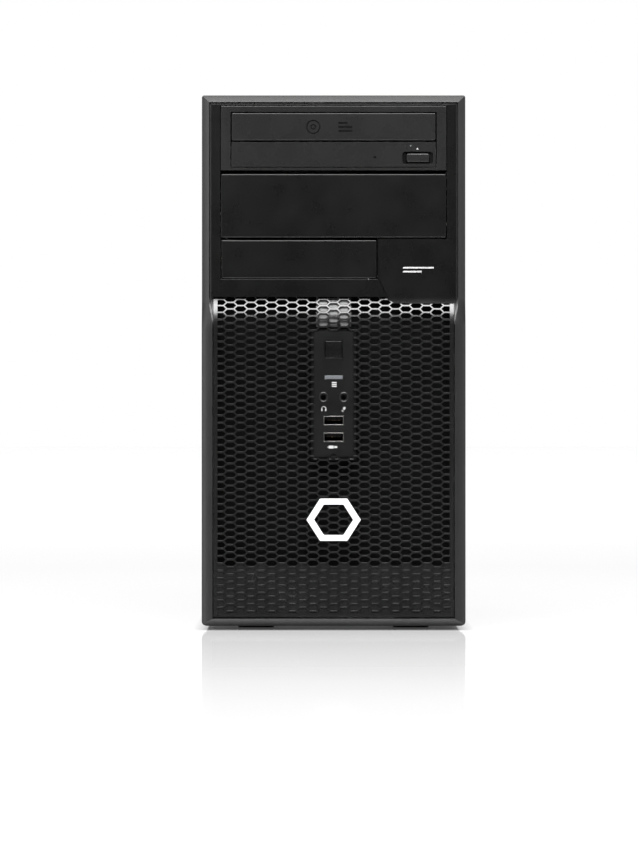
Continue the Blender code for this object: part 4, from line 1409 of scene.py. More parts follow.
@dataclass
class DriveFront:
    """The disc drive's face: frame, tray door with its disc mark, lower panel, button, lamp and pin-hole."""

    recess: tuple[float, float, float, float] = (45.6, 66.0, 308.9, 317.2)

    def build(self) -> None:
        """Makes the drive's face."""
        self.frame()
        self.door()
        self.panel()
        self.button()

    def frame(self) -> None:
        """The frame round the door and the panel."""
        low, high = box_mm("odd_bezel_frame")
        door_low, door_high = box_mm("odd_tray_front")
        panel_low, _ = box_mm("odd_lower_panel")
        plate = Bench.cube("drive_frame", low, high)
        gap = 0.5
        Bench.cut_box(
            plate,
            (door_low.x - gap, low.y - 1, panel_low.z - gap),
            (door_high.x + gap, high.y + 1, door_high.z + gap),
        )
        Bench.soften(plate, 0.5, 2)
        Bench.finish(plate, Finish.DOOR, replaced=["odd_bezel_frame"])

    def door(self) -> None:
        """The tray's door, with a plain disc pictogram and three short bars in relief."""
        low, high = box_mm("odd_tray_front")
        room = Vector((0.1, 0, 0.1))
        door = Bench.cube("tray_door", low + room, high - room)
        Bench.soften(door, 0.6, 3)
        level = (low.z + high.z) / 2
        marks = []
        for radius, tube in ((4.3, 0.42), (1.5, 0.36)):
            marks.append(Bench.torus("ring", (-13.5, low.y + 0.1, level), radius, tube, Axis.Y))
        for step, width in ((-2.6, 9.0), (0, 9.0), (2.6, 6.0)):
            edge = level + step
            bar = Bench.cube("bar", (3.2, low.y - 0.25, edge - 0.55), (3.2 + width, low.y + 0.2, edge + 0.55))
            marks.append(Bench.soften(bar, 0.2, 2))
        mark = Bench.merge("disc_mark", marks)
        for vert in mark.data.vertices:
            vert.co.y = max(vert.co.y, (low.y - 0.25) * MM)
        Bench.finish(mark, Finish.BLACK_AND_SHADE, body="odd_tray")
        Bench.finish(door, Finish.DOOR, body="odd_tray", replaced=["odd_tray_front"])

    def panel(self) -> None:
        """The panel under the door: button recess, lamp, small arrow and pin-hole."""
        low, high = box_mm("odd_lower_panel")
        plate = Bench.cube("drive_panel", low, high)
        left, right, bottom, top = self.recess
        bowl = Bench.cube("tool", (left, low.y - 1, bottom), (right, low.y + 1.1, top))
        Bench.round_along(bowl, 1, 2.2, 5)
        Bench.cut(plate, bowl)
        button_low, button_high = box_mm("odd_eject_button")
        gap = 0.35
        Bench.cut_box(
            plate,
            (button_low.x - gap, low.y - 1, button_low.z - gap),
            (button_high.x + gap, high.y + 1, button_high.z + gap),
        )
        pin = Bench.cylinder("tool", (27.4, low.y, 313.6), 0.75, 4, Axis.Y, 20)
        Bench.cut(plate, pin)
        lamp_hole = Bench.cylinder("tool", (51.2, low.y, 321.1), 0.7, 2, Axis.Y, 16)
        Bench.cut(plate, lamp_hole)
        Bench.soften(plate, 0.3, 2)
        Bench.finish(plate, Finish.DOOR, replaced=["odd_lower_panel"])

        def in_recess(centre: Vector, normal: Vector) -> bool:
            """Whether a face is in the recess round the button."""
            across = left - 0.1 < centre.x < right + 0.1 and bottom - 0.1 < centre.z < top + 0.1
            return across and centre.y > low.y + 0.3

        # The recess round the eject button is painted near black: painted shade round the button.
        Bench.second_finish(plate, Finish.BLACK_AND_SHADE, in_recess)
        lamp = Bench.cylinder("drive_lamp", (51.2, low.y + 0.4, 321.1), 0.6, 1.0, Axis.Y, 16)
        Bench.soften(lamp, 0.15, 2)
        Bench.finish(lamp, Finish.LENS)
        arrow = Bench.prism("drive_arrow", [(54.8, 318.7), (56.4, 318.7), (55.6, 319.9)], low.y - 0.01, 0.2)
        Bench.finish(arrow, Finish.PRINT)

    def button(self) -> None:
        """The eject button, with a softened face."""
        low, high = box_mm("odd_eject_button")
        button = Bench.cube("eject_key", low, high)
        Bench.soften(button, 0.9, 4)
        Bench.finish(button, Finish.DOOR, body="odd_eject_button", replaced=["odd_eject_button"])


@dataclass
class ConnectorPanel:
    """The narrow panel in the grille: power button, status light, sockets and their small symbols."""

    icon_depth: float = 0.12

    def build(self) -> None:
        """Makes the panel and everything in it."""
        self.face = box_mm("io_panel")[0].y
        self.plate()
        self.button()
        self.light()
        self.icons()
        for node in ("usb_port_upper", "usb_port_lower"):
            self.usb(node)
        for node in ("headphone_jack", "microphone_jack"):
            self.jack(node)

    def plate(self) -> None:
        """The panel's plate with its openings and a folded edge behind it."""
        low, high = box_mm("io_panel")
        plate = Bench.cube("connector_plate", low, high)
        gap = 0.3
        for node in ("power_button", "status_light", "usb_port_upper", "usb_port_lower"):
            part_low, part_high = box_mm(node)
            Bench.cut_box(
                plate,
                (part_low.x - gap, low.y - 1, part_low.z - gap),
                (part_high.x + gap, high.y + 1, part_high.z + gap),
            )
        for node in ("headphone_jack", "microphone_jack"):
            part_low, part_high = box_mm(node)
            centre = (part_low + part_high) / 2
            hole = Bench.cylinder("tool", (centre.x, low.y, centre.z), 3.15, 12, Axis.Y, 48)
            Bench.cut(plate, hole)
        notch = Bench.cylinder("tool", (0, low.y, low.z), 2.2, 3, Axis.Y, 24)
        Bench.cut(plate, notch)
        Bench.soften(plate, 0.25, 2)
        flange_low = (low.x - 1.8, low.y + 2.3, low.z - 1.6)
        flange = Bench.cube("flange", flange_low, (high.x + 1.8, high.y - 0.1, high.z + 0.8))
        Bench.cut_box(flange, (low.x + 0.8, low.y, low.z + 0.8), (high.x - 0.8, high.y + 1, high.z - 0.8))
        plate = Bench.merge("connector_plate", [plate, flange])
        Bench.finish(plate, Finish.MATT, replaced=["io_panel"])

    def button(self) -> None:
        """The square power button: a dished face inside a fine raised edge."""
        low, high = box_mm("power_button")
        button = Bench.cube("power_key", low, (high.x, low.y + 5, high.z))
        Bench.soften(button, 0.5, 3)
        Bench.pick_faces(button, lambda centre, normal: normal.y < -0.99)
        Bench.inset(0.35, 0.0)
        Bench.inset(0.5, -0.18)
        Bench.inset(1.6, -0.22)
        Bench.inset(1.5, -0.08)
        Bench.done()
        Bench.finish(button, Finish.SATIN, body="power_button", angle=40)
        middle = (0, (low.y + 5 + high.y) / 2, (low.z + high.z) / 2)
        stem = Bench.cylinder("power_stem", middle, 2, high.y - low.y - 5, Axis.Y)
        Bench.soften(stem, 0.3, 2)
        Bench.finish(stem, Finish.MATT, body="power_button")
        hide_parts("power_button")

    def light(self) -> None:
        """The status light: a smoke lens with upright ribs."""
        low, high = box_mm("status_light")
        lens = Bench.cube("status_lens", low, high)
        Bench.soften(lens, 0.3, 2)
        ribs = 7
        pitch = (high.x - low.x) / ribs
        for index in range(1, ribs):
            x = low.x + index * pitch
            Bench.cut_box(lens, (x - 0.12, low.y - 1, low.z - 1), (x + 0.12, low.y + 0.3, high.z + 1))
        Bench.finish(lens, Finish.LENS, replaced=["status_light"])

    def usb(self, node: str) -> None:
        """A socket: folded shell, plastic tongue and four contacts.

        Args:
            node: The node of the frame.
        """
        low, high = box_mm(node)
        middle = (low + high) / 2
        shell = Bench.socket(f"{node}_shell", low, high, 0.4, Finish.NICKEL)
        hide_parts(node)
        tongue_low = (middle.x - 5.2, low.y + 3, middle.z + 0.2)
        tongue_high = (middle.x + 5.2, high.y - 1.6, middle.z + 1.9)
        tongue = Bench.cube(f"{node}_tongue", tongue_low, tongue_high)
        Bench.soften(tongue, 0.25, 2)
        Bench.finish(tongue, Finish.MATT)
        contacts = []
        for x in (-3.5, -1.0, 1.0, 3.5):
            strip_low = (middle.x + x - 0.5, low.y + 4, middle.z - 0.02)
            strip_high = (middle.x + x + 0.5, high.y - 2, middle.z + 0.3)
            contacts.append(Bench.cube("contact", strip_low, strip_high))
        strips = Bench.merge(f"{node}_contacts", contacts)
        Bench.soften(strips, 0.1, 1)
        Bench.finish(strips, Finish.GOLD)

    def jack(self, node: str) -> None:
        """A round socket: a collar with a deep bore.

        Args:
            node: The node of the frame.
        """
        low, high = box_mm(node)
        middle = (low + high) / 2
        lip = Bench.torus("lip", (middle.x, self.face, middle.z), 2.95, 0.42, Axis.Y)
        length = high.y - self.face - 0.1
        centre = (middle.x, self.face + 0.1 + length / 2, middle.z)
        collar = Bench.cylinder(f"{node}_collar", centre, 2.85, length, Axis.Y, 48)
        Bench.pick_faces(collar, lambda centre, normal: normal.y < -0.9)
        Bench.inset(1.0)
        Bench.extrude((0, 11.5, 0))
        Bench.done()
        collar = Bench.merge(f"{node}_collar", [collar, lip])
        Bench.finish(collar, Finish.DOOR, replaced=[node])

    def icons(self) -> None:
        """The printed symbols, as thin raised shapes on the plate."""
        y = self.face - self.icon_depth
        shapes = [
            *self.drive_symbol(Vector((0.4, y, 162.7))),
            *self.headphone_symbol(Vector((-6.5, y, 146.6))),
            *self.turned(self.microphone_symbol(Vector((6.7, y, 146.3))), Vector((6.7, y, 146.3)), 35),
            *self.plug_symbol(Vector((-0.1, y, 121.2))),
        ]
        printed = Bench.merge("panel_symbols", shapes)
        Bench.finish(printed, Finish.PRINT)

    def bar(self, centre: Vector, x: float, z: float, width: float, height: float) -> bpy.types.Object:
        """A small flat bar of a symbol, placed from the symbol's centre.

        Args:
            centre: The symbol's centre, in millimetres.
            x: How far it stands beside that centre.
            z: How far it stands above that centre.
            width: Its width, in millimetres.
            height: Its height, in millimetres.

        Returns:
            The object.
        """
        low = (centre.x + x - width / 2, centre.y, centre.z + z - height / 2)
        high = (centre.x + x + width / 2, centre.y + self.icon_depth, centre.z + z + height / 2)
        return Bench.cube("bar", low, high)

    def ring(
        self, centre: Vector, x: float, z: float, radius: float, width: float, sides: int = 24
    ) -> bpy.types.Object:
        """A small flat ring of a symbol, or a disc where the width is the radius.

        Args:
            centre: The symbol's centre, in millimetres.
            x: How far it stands beside that centre.
            z: How far it stands above that centre.
            radius: Its outer radius, in millimetres.
            width: The width of the band.
            sides: How many sides it has.

        Returns:
            The object.
        """
        spot = (centre.x + x, centre.y + self.icon_depth / 2, centre.z + z)
        disc = Bench.cylinder("ring", spot, radius, self.icon_depth, Axis.Y, sides)
        if width < radius:
            Bench.cut(disc, Bench.cylinder("tool", spot, radius - width, 1, Axis.Y, sides))
        return disc

    def drive_symbol(self, centre: Vector) -> list[bpy.types.Object]:
        """A stack of three short cans, for drive activity."""
        return [self.bar(centre, 0, level, 3.2, 0.75) for level in (-1.2, 0, 1.2)]

    def headphone_symbol(self, centre: Vector) -> list[bpy.types.Object]:
        """A band over two ear pads.

        Args:
            centre: The symbol's centre, in millimetres.

        Returns:
            The shapes of the symbol.
        """
        band = self.ring(centre, 0, 0, 1.6, 0.35)
        half_high = (centre.x + 3, centre.y + 1, centre.z)
        Bench.cut_box(band, (centre.x - 3, centre.y - 1, centre.z - 3), half_high)
        pads = [self.bar(centre, side * 1.3, -0.75, 0.75, 1.5) for side in (-1, 1)]
        return [band, *pads]

    def microphone_symbol(self, centre: Vector) -> list[bpy.types.Object]:
        """A capsule on a stand.

        Args:
            centre: The symbol's centre, in millimetres.

        Returns:
            The shapes of the symbol.
        """
        return [
            self.ring(centre, 0, 0.9, 0.75, 0.75),
            self.bar(centre, 0, 0.35, 1.5, 1.1),
            self.bar(centre, 0, -1.0, 0.35, 1.0),
            self.bar(centre, 0, -1.6, 1.9, 0.35),
        ]

    @staticmethod
    def turned(shapes: list[bpy.types.Object], centre: Vector, angle: float) -> list[bpy.types.Object]:
        """The shapes of a symbol, turned about its centre by an angle in degrees.

        Args:
            shapes: The shapes to turn.
            centre: The symbol's centre, in millimetres.
            angle: The angle, in degrees.

        Returns:
            The same shapes, turned.
        """
        spot = Matrix.Translation(centre * MM)
        turn = spot @ Matrix.Rotation(math.radians(angle), 4, "Y") @ spot.inverted()
        for shape in shapes:
            shape.data.transform(turn)
        return shapes

    def plug_symbol(self, centre: Vector) -> list[bpy.types.Object]:
        """A plain plug lying on its side: body, nose and lead.

        Args:
            centre: The symbol's centre, in millimetres.

        Returns:
            The shapes of the symbol.
        """
        body = self.bar(centre, -1.5, 0, 3.2, 1.9)
        nose = self.bar(centre, 1.5, 0, 2.0, 1.3)
        lead = self.bar(centre, -3.6, 0, 0.9, 0.4)
        return [body, nose, lead]


@dataclass
class Badge:
    """The generic mark: an open six-sided ring, and a plain bar on the upper panel."""

    def build(self) -> None:
        """Makes the ring and the bar."""
        low, high = box_mm("front_badge")
        middle = (low + high) / 2
        half = (high - low) / 2
        corners = [(-1, 0), (-0.5, -1), (0.5, -1), (1, 0), (0.5, 1), (-0.5, 1)]
        outline = [(middle.x + x * half.x, middle.z + z * half.z) for x, z in corners]
        inner = [(middle.x + 0.72 * x * half.x, middle.z + 0.72 * z * half.z) for x, z in corners]
        ring = Bench.prism("badge_ring", outline, low.y, high.y - low.y)
        Bench.cut(ring, Bench.prism("tool", inner, low.y - 2, high.y - low.y + 4))
        Bench.soften(ring, 0.28, 3)
        Bench.finish(ring, Finish.WHITE, replaced=["front_badge"])
        face = -203.4
        bars = [
            Bench.soften(Bench.cube("bar", (46, face - 0.12, z), (46 + width, face + 0.8, z + 1.1)), 0.15, 2)
            for z, width in ((239.6, 20.5), (237.0, 12.5))
        ]
        Bench.finish(Bench.merge("name_bar", bars), Finish.PRINT)


# The case


@dataclass
class Case:
    """The folded sheet-metal case: side panels, top, floor, feet and thumbscrews."""

    border: float = 10.0

    def build(self) -> None:
        """Makes the case's outer sheets and its feet."""
        self.pressed("right_side_panel", "right_cover", Vector((1, 0, 0)), Finish.PAINT)
        self.pressed("chassis_top", "top_cover", Vector((0, 0, 1)), Finish.PAINT)
        self.pressed("chassis_floor", "floor_sheet", Vector((0, 0, -1)), Finish.ZINC)
        self.left_panel()
        for node in ("thumbscrew_upper", "thumbscrew_lower"):
            self.thumbscrew(node)
        for end in ("front", "rear"):
            for side in ("left", "right"):
                self.foot(f"foot_{end}_{side}")

    def press(self, sheet: bpy.types.Object, way: Vector) -> None:
        """Presses a shallow field into the side of a sheet that faces a way.

        Args:
            sheet: The sheet, changed in place.
            way: The direction the face looks.
        """
        Bench.pick_faces(sheet, lambda centre, normal: normal.dot(way) > 0.9)
        Bench.inset(self.border)
        Bench.inset(1.4, -0.4)
        Bench.done()

    def pressed(self, node: str, name: str, way: Vector, finish: Finish) -> None:
        """A flat sheet with a pressed field.

        Args:
            node: The node of the frame.
            name: The name of the piece.
            way: The direction the face looks.
            finish: The finish it wears.
        """
        sheet = Bench.cube(name, *box_mm(node))
        self.press(sheet, way)
        Bench.finish(Bench.soften(sheet, 0.3, 2), finish, replaced=[node])

    def left_panel(self) -> None:
        """The removable panel with its folded rear flange and two screw tabs."""
        low, high = box_mm("left_side_panel")
        sheet = Bench.cube("left_cover", low, (low.x + 1, high.y, high.z))
        self.press(sheet, Vector((-1, 0, 0)))
        flange = Bench.cube("tool", (low.x + 0.5, high.y - 1, low.z + 0.1), (high.x, high.y, high.z - 0.1))
        Bench.combine(sheet, flange, "UNION")
        for z in (60, 310):
            Bench.cut(sheet, Bench.cylinder("tool", (-80, high.y, z), 2.1, 5, Axis.Y, 24))
        for low_z, high_z in ((80, 180), (190, 290)):
            Bench.cut_box(sheet, (-77, high.y - 3, low_z), (-70, high.y + 3, high_z))
        Bench.soften(sheet, 0.3, 2)
        Bench.finish(sheet, Finish.PAINT, body="left_side_panel", replaced=["left_side_panel"])

    def thumbscrew(self, node: str) -> None:
        """A captive screw with a knurled, slotted head.

        Args:
            node: The node of the frame.
        """
        low, high = box_mm(node)
        middle = (low + high) / 2
        head = Bench.cylinder(f"{node}_head", (middle.x, high.y - 3.1, middle.z), 5, 6.2, Axis.Y, 48)
        for index, vert in enumerate(head.data.vertices):
            if (index // 2) % 2:
                vert.co.x = middle.x * MM + (vert.co.x - middle.x * MM) * 0.94
                vert.co.z = middle.z * MM + (vert.co.z - middle.z * MM) * 0.94
        Bench.pick_faces(head, lambda centre, normal: normal.y > 0.9)
        Bench.inset(0.6)
        Bench.inset(0.25, -0.4)
        Bench.done()
        for long, short in ((3.2, 0.55), (0.55, 3.2)):
            corner = Vector((long, 2.2, short))
            top = Vector((middle.x, high.y, middle.z))
            Bench.cut_box(head, top - corner, top + corner + Vector((0, 2, 0)))
        neck = Bench.cylinder("neck", (middle.x, low.y + 0.9, middle.z), 3.4, 1.8, Axis.Y, 32)
        screw = Bench.merge(f"{node}_head", [head, Bench.soften(neck, 0.25, 2)])
        Bench.finish(screw, Finish.ZINC, body="left_side_panel", replaced=[node], angle=25)

    def foot(self, node: str) -> None:
        """A rubber pad with rounded corners and a screw well.

        Args:
            node: The node of the frame.
        """
        low, high = box_mm(node)
        pad = Bench.cube(f"{node}_pad", low, high)
        middle = (low + high) / 2 * MM
        for vert in pad.data.vertices:
            if vert.co.z < MM:
                vert.co.x = middle.x + (vert.co.x - middle.x) * 0.92
                vert.co.y = middle.y + (vert.co.y - middle.y) * 0.92
        Bench.round_along(pad, 2, 4)
        Bench.cut(pad, Bench.cylinder("tool", (middle.x / MM, middle.y / MM, 0), 4, 6, Axis.Z, 32))
        Bench.soften(pad, 0.5, 3, 50)
        Bench.finish(pad, Finish.RUBBER, replaced=[node])


@dataclass
class Back:
    """The rear sheet with its fan grille, the slot covers and the screws."""

    fan: tuple[float, float] = (-31.0, 192.0)
    fan_screws: float = 41.25
    slots: int = 4
    slot_pitch: float = 20.32
    slot_top: float = 81.6
    hole_pitch: float = 6.6
    hole_radius: float = 3.15
    hole_reach: float = 38.5

    def build(self) -> None:
        """Makes the rear sheet and what is fixed to it."""
        low, high = box_mm("rear_panel")
        sheet = Bench.cube("rear_sheet", low, high)
        Bench.pick_faces(sheet, lambda centre, normal: normal.y > 0.9)
        Bench.inset(3.0)
        Bench.inset(0.8, -0.3)
        Bench.done()
        Bench.soften(sheet, 0.25, 2)
        y, deep = low.y - 1, high.y - low.y + 2
        edge, end, cut = 71.5, (266.0, 345.0), 11.0
        mouth = [(-edge, end[0] + cut), (cut - edge, end[0]), (edge - cut, end[0]), (edge, end[0] + cut)]
        mouth += [(edge, end[1] - cut), (edge - cut, end[1]), (cut - edge, end[1]), (-edge, end[1] - cut)]
        tools = [Bench.prism("tool", mouth, y, deep), self.honeycomb(y + deep / 2, deep)]
        port_low, port_high = box_mm("rear_ports")
        gap = 0.3
        opening_low = (port_low.x - gap, y, port_low.z - gap)
        tools.append(Bench.cube("tool", opening_low, (port_high.x + gap, y + deep, port_high.z + gap)))
        for index in range(self.slots):
            middle = self.slot_top - index * self.slot_pitch
            tools.append(Bench.cube("tool", (-32, y, middle - 6.5), (66, y + deep, middle + 6.5)))
        vents = Bench.cube("tool", (-80, y, 92), (-77.5, y + deep, 122))
        tools.append(Bench.repeat(vents, [(5.5 * step, 0, 0) for step in range(1, 18)]))
        Bench.cut(sheet, Bench.merge("tool", tools))
        Bench.finish(sheet, Finish.ZINC, replaced=["rear_panel"])
        for index in range(self.slots):
            self.slot_cover(index)
        self.screws(high.y)

    def honeycomb(self, y: float, deep: float) -> bpy.types.Object:
        """The cutter for the six-sided holes in front of the fan.

        Args:
            y: The middle of the cutter along y.
            deep: How far the tool runs along y.

        Returns:
            The tool that cuts the holes.
        """
        pitch = self.hole_pitch
        hole = Bench.cylinder("tool", (self.fan[0], y, self.fan[1]), self.hole_radius, deep, Axis.Y, 6)
        moves = []
        for column in range(-7, 8):
            for row in range(-8, 9):
                move = Vector((column * pitch * math.sqrt(0.75), 0, (row + column % 2 / 2) * pitch))
                if 0 < move.length < self.hole_reach:
                    moves.append(move)
        return Bench.repeat(hole, moves)

    def slot_cover(self, index: int) -> None:
        """A slot cover with two rows of long vents.

        Args:
            index: Which one it is, counted from 0 at the top.
        """
        node = f"slot_cover_{index + 1}"
        low, high = box_mm(node)
        cover = Bench.cube(f"{node}_plate", low, high)
        middle = self.slot_top - index * self.slot_pitch
        vent = Bench.cube("tool", (-24, low.y - 1, middle - 4.4), (-16.5, high.y + 1, middle - 2.4))
        moves = [(9.6 * column, 0, 3.4 * row) for column in range(9) for row in range(3) if column or row]
        Bench.cut(cover, Bench.repeat(vent, moves))
        Bench.soften(cover, 0.2, 1)
        Bench.finish(cover, Finish.ZINC, replaced=[node])

    def screws(self, y: float) -> None:
        """The pan-head screws of the fan, the supply and the slot covers.

        Args:
            y: The depth of the rear sheet's outer face.
        """
        reach = (-self.fan_screws, self.fan_screws)
        spots = [(self.fan[0] + x, self.fan[1] + z) for x in reach for z in reach]
        spots += [(x, z) for x in (-68.6, 68.6) for z in (268.9, 342.1)]
        spots += [(-35.2, self.slot_top - index * self.slot_pitch) for index in range(self.slots)]
        first = spots[0]
        head = Bench.screw("rear_screws", Vector((first[0], y, first[1])))
        Bench.repeat(head, [(x - first[0], 0, z - first[1]) for x, z in spots[1:]])
        Bench.finish(head, Finish.NICKEL)


@dataclass
class PowerSupply:
    """The supply: case with fan well and wire guard, inlet and rocker switch."""

    fan: tuple[float, float] = (-28.0, 305.5)
    well: float = 38.6

    def build(self) -> None:
        """Makes the supply."""
        low, high = box_mm("psu_case")
        case = Bench.cube("supply_case", low, high)
        x, z = self.fan
        Bench.cut(case, Bench.cylinder("tool", (x, high.y - 11, z), self.well, 34, Axis.Y, 72))
        Bench.cut_box(case, (32.2, high.y - 22, 277.7), (59.8, high.y + 2, 298.3))
        Bench.cut_box(case, (36.7, high.y - 7, 318.2), (55.3, high.y + 2, 329.8))
        vent = Bench.cube("tool", (-62, low.y - 1, 274), (-59.5, low.y + 3, 337))
        Bench.cut(case, Bench.repeat(vent, [(6.2 * step, 0, 0) for step in range(1, 17)]))
        Bench.soften(case, 0.5, 2)
        Bench.finish(case, Finish.PAINT, replaced=["psu_case"])
        self.guard(high.y)
        self.inlet()
        self.switch()

    def guard(self, face: float) -> None:
        """The wire guard in front of the fan: rings, two crossed bars and four screws.

        Args:
            face: The depth of the supply's outer face.
        """
        x, z = self.fan
        y = face + 1.7
        wires = [Bench.torus("wire", (x, y, z), radius, 0.75, Axis.Y, 64) for radius in (8, 15, 22, 29, 36)]
        for angle in (45, -45):
            bar = Bench.cylinder("wire", (0, 0, 0), 0.75, 96, Axis.X, 12)
            turn = Matrix.Rotation(math.radians(angle), 4, "Y")
            bar.data.transform(Matrix.Translation(Vector((x, y - 0.9, z)) * MM) @ turn)
            wires.append(bar)
        guard = Bench.merge("fan_guard", wires)
        Bench.finish(guard, Finish.NICKEL)
        reach = 47.5 * math.sqrt(0.5)
        head = Bench.screw("guard_screws", Vector((x - reach, face, z - reach)))
        Bench.repeat(head, [(2 * reach, 0, 0), (0, 0, 2 * reach), (2 * reach, 0, 2 * reach)])
        Bench.finish(head, Finish.NICKEL)

    def inlet(self) -> None:
        """The mains inlet: a shrouded recess with three flat pins."""
        low, high = box_mm("psu_inlet")
        body = Bench.cube("mains_inlet", low, high)
        Bench.soften(body, 1.0, 3)
        recess = [(35, 281), (57, 281), (57, 291.5), (53.5, 295.2), (38.5, 295.2), (35, 291.5)]
        Bench.cut(body, Bench.prism("tool", recess, low.y + 6, 30))
        Bench.soften(body, 0.25, 2, 60)
        Bench.finish(body, Finish.MATT, replaced=["psu_inlet"])
        pins = [
            Bench.soften(Bench.cube("pin", (x - 1, low.y + 5, z - 3), (x + 1, high.y - 3, z + 3)), 0.4, 2)
            for x, z in ((39.5, 286), (52.5, 286), (46, 290.2))
        ]
        Bench.finish(Bench.merge("inlet_pins", pins), Finish.NICKEL)

    def switch(self) -> None:
        """The rocker with its dished face, in a thin frame."""
        low, high = box_mm("psu_switch_rocker")
        rocker = Bench.cube("rocker_key", low, high)
        middle = (low + high) / 2
        Bench.slice(rocker, middle, (1, 0, 0))
        for vert in rocker.data.vertices:
            if abs(vert.co.x / MM - middle.x) < 0.1 and vert.co.y / MM > middle.y:
                vert.co.y -= 1.3 * MM
        Bench.soften(rocker, 0.45, 3, 50)
        Bench.finish(rocker, Finish.SATIN, body="psu_switch", replaced=["psu_switch_rocker"], angle=25)
        face = box_mm("psu_case")[1].y
        rim = Bench.cube("switch_frame", (35.2, face, 316.6), (56.8, face + 0.9, 331.4))
        Bench.cut_box(rim, (36.7, face - 1, 318.2), (55.3, face + 2, 329.8))
        Bench.soften(rim, 0.3, 2)
        Bench.finish(rim, Finish.MATT)


@dataclass
class RearPorts:
    """The board's rear sockets in their shield."""

    seat: float = 70.7
    reach: float = 31
    usb_half: float = 2.9
    usb_rise: float = 6.6
    usb_levels: tuple[float, ...] = (142, 162.5, 183.5)

    def build(self) -> None:
        """Makes the shield and every socket."""
        low, high = box_mm("rear_ports")
        self.start, self.proud = low.y, high.y
        shield = Bench.cube("port_shield", (low.x, 199.1, low.z), (high.x, 199.6, high.z))
        single = ((96, 110, 34), (114, 130, self.reach))
        pairs = ((134, 150, self.reach), (154, 171, self.reach), (175, 192, self.reach))
        upper = ((196, 213, self.reach), (217, 249, 20))
        for bottom, top, depth in (*single, *pairs, *upper):
            Bench.cut_box(shield, (self.seat - depth, 198, bottom), (self.seat, 201, top))
        Bench.soften(shield, 0.12, 1)
        Bench.finish(shield, Finish.NICKEL, replaced=["rear_ports"])
        self.audio(103)
        self.network(122)
        for level in self.usb_levels:
            self.usb_pair(level)
        self.round_pair(204.5)
        self.display(233)

    def housing(
        self,
        name: str,
        depth: float,
        rows: tuple[float, float],
        finish: Finish,
        cavities: Sequence[tuple[float, float, float, float]] = (),
    ) -> bpy.types.Object:
        """The block round a group of sockets, up to just inside the shield's face.

        Args:
            name: The piece's name.
            depth: How far it stands out from the board.
            rows: Its lowest and highest height.
            finish: Its finish.
            cavities: The left, right, lowest and highest edge of each hollow in its face.

        Returns:
            The block.
        """
        low = (self.seat - depth + 0.2, self.start, rows[0] + 0.2)
        block = Bench.cube(name, low, (self.seat - 0.2, self.proud - 1.0, rows[1] - 0.2))
        Bench.soften(block, 0.35, 2)
        for left, right, bottom, top in cavities:
            Bench.cut_box(block, (left, self.start + 3, bottom), (right, self.proud, top))
        return Bench.finish(block, finish)

    def upright(self, name: str, x: float, level: float) -> None:
        """The metal shell of one upright socket.

        Args:
            name: The name of the piece.
            x: Its middle across, in millimetres.
            level: Its middle in height, in millimetres.
        """
        low = (x - self.usb_half, 186, level - self.usb_rise)
        high = (x + self.usb_half, self.proud, level + self.usb_rise)
        Bench.socket(name, low, high, 0.4, Finish.NICKEL, 1)

    def usb_pair(self, level: float) -> None:
        """Two upright sockets side by side.

        Args:
            level: Its middle in height, in millimetres.
        """
        middles = (62.6, 50.8)
        hollows = [(x - 2.8, x + 2.8, level - 6.5, level + 6.5) for x in middles]
        self.housing(f"usb_block_{level:.0f}", self.reach, (level - 8, level + 8), Finish.NICKEL, hollows)
        for index, x in enumerate(middles):
            name = f"rear_usb_{level:.0f}_{index}"
            self.upright(name, x, level)
            tongue_high = (x + 1.9, self.proud - 1.6, level + 5.2)
            tongue = Bench.cube(f"{name}_tongue", (x + 0.3, 188, level - 5.2), tongue_high)
            Bench.finish(Bench.soften(tongue, 0.2, 2), Finish.MATT)

    def network(self, level: float) -> None:
        """The network socket beside one upright socket.

        Args:
            level: Its middle in height, in millimetres.
        """
        hollows = [(41.1, 55.9, level - 6.7, level + 6.7), (61.1, 66.7, level - 6.5, level + 6.5)]
        self.housing("network_block", self.reach, (level - 8, level + 8), Finish.NICKEL, hollows)
        wide_high = (56, self.proud, level + 6.8)
        Bench.socket("network_socket", (41, 184, level - 6.8), wide_high, 0.8, Finish.NICKEL, 1)
        self.upright("network_usb", 63.9, level)
        contacts = Bench.cube("network_contacts", (44, 186, level + 4.4), (44.5, 198, level + 5.4))
        Bench.repeat(contacts, [(1.2 * step, 0, 0) for step in range(1, 8)])
        Bench.finish(contacts, Finish.GOLD)

    def round_socket(self, name: str, x: float, z: float, radius: float, bore: float, finish: Finish) -> None:
        """A coloured round face whose bore is painted near black as painted shade.

        Args:
            name: The name of the piece.
            x: Its middle across, in millimetres.
            z: Its middle in height, in millimetres.
            radius: Its radius, in millimetres.
            bore: The radius of the hole.
            finish: The finish it wears.
        """
        face = Bench.cylinder(name, (x, self.proud - 2, z), radius, 4, Axis.Y, 40)
        Bench.pick_faces(face, lambda centre, normal: normal.y > 0.9)
        Bench.inset(0.5)
        Bench.inset(0.2, -0.2)
        Bench.inset(radius - bore - 0.7)
        Bench.extrude((0, -3.2, 0))
        Bench.done()
        Bench.finish(face, finish)

        def in_bore(centre: Vector, normal: Vector) -> bool:
            """Whether a face is in the bore."""
            return math.hypot(centre.x - x, centre.z - z) < bore + 0.1 and centre.y < self.proud - 0.5

        # The bore's faces are painted near black: painted shade inside the hole.
        Bench.second_finish(face, Finish.BLACK_AND_SHADE, in_bore)

    def audio(self, level: float) -> None:
        """Three small round sockets in their usual colours.

        Args:
            level: Its middle in height, in millimetres.
        """
        self.housing("audio_block", 34, (level - 7, level + 7), Finish.MATT)
        sockets = {
            "line_in": (64.2, Finish.SKY),
            "line_out": (53.6, Finish.GREEN),
            "microphone_in": (43, Finish.PINK),
        }
        for name, (x, finish) in sockets.items():
            self.round_socket(f"rear_{name}", x, level, 4.4, 1.9, finish)

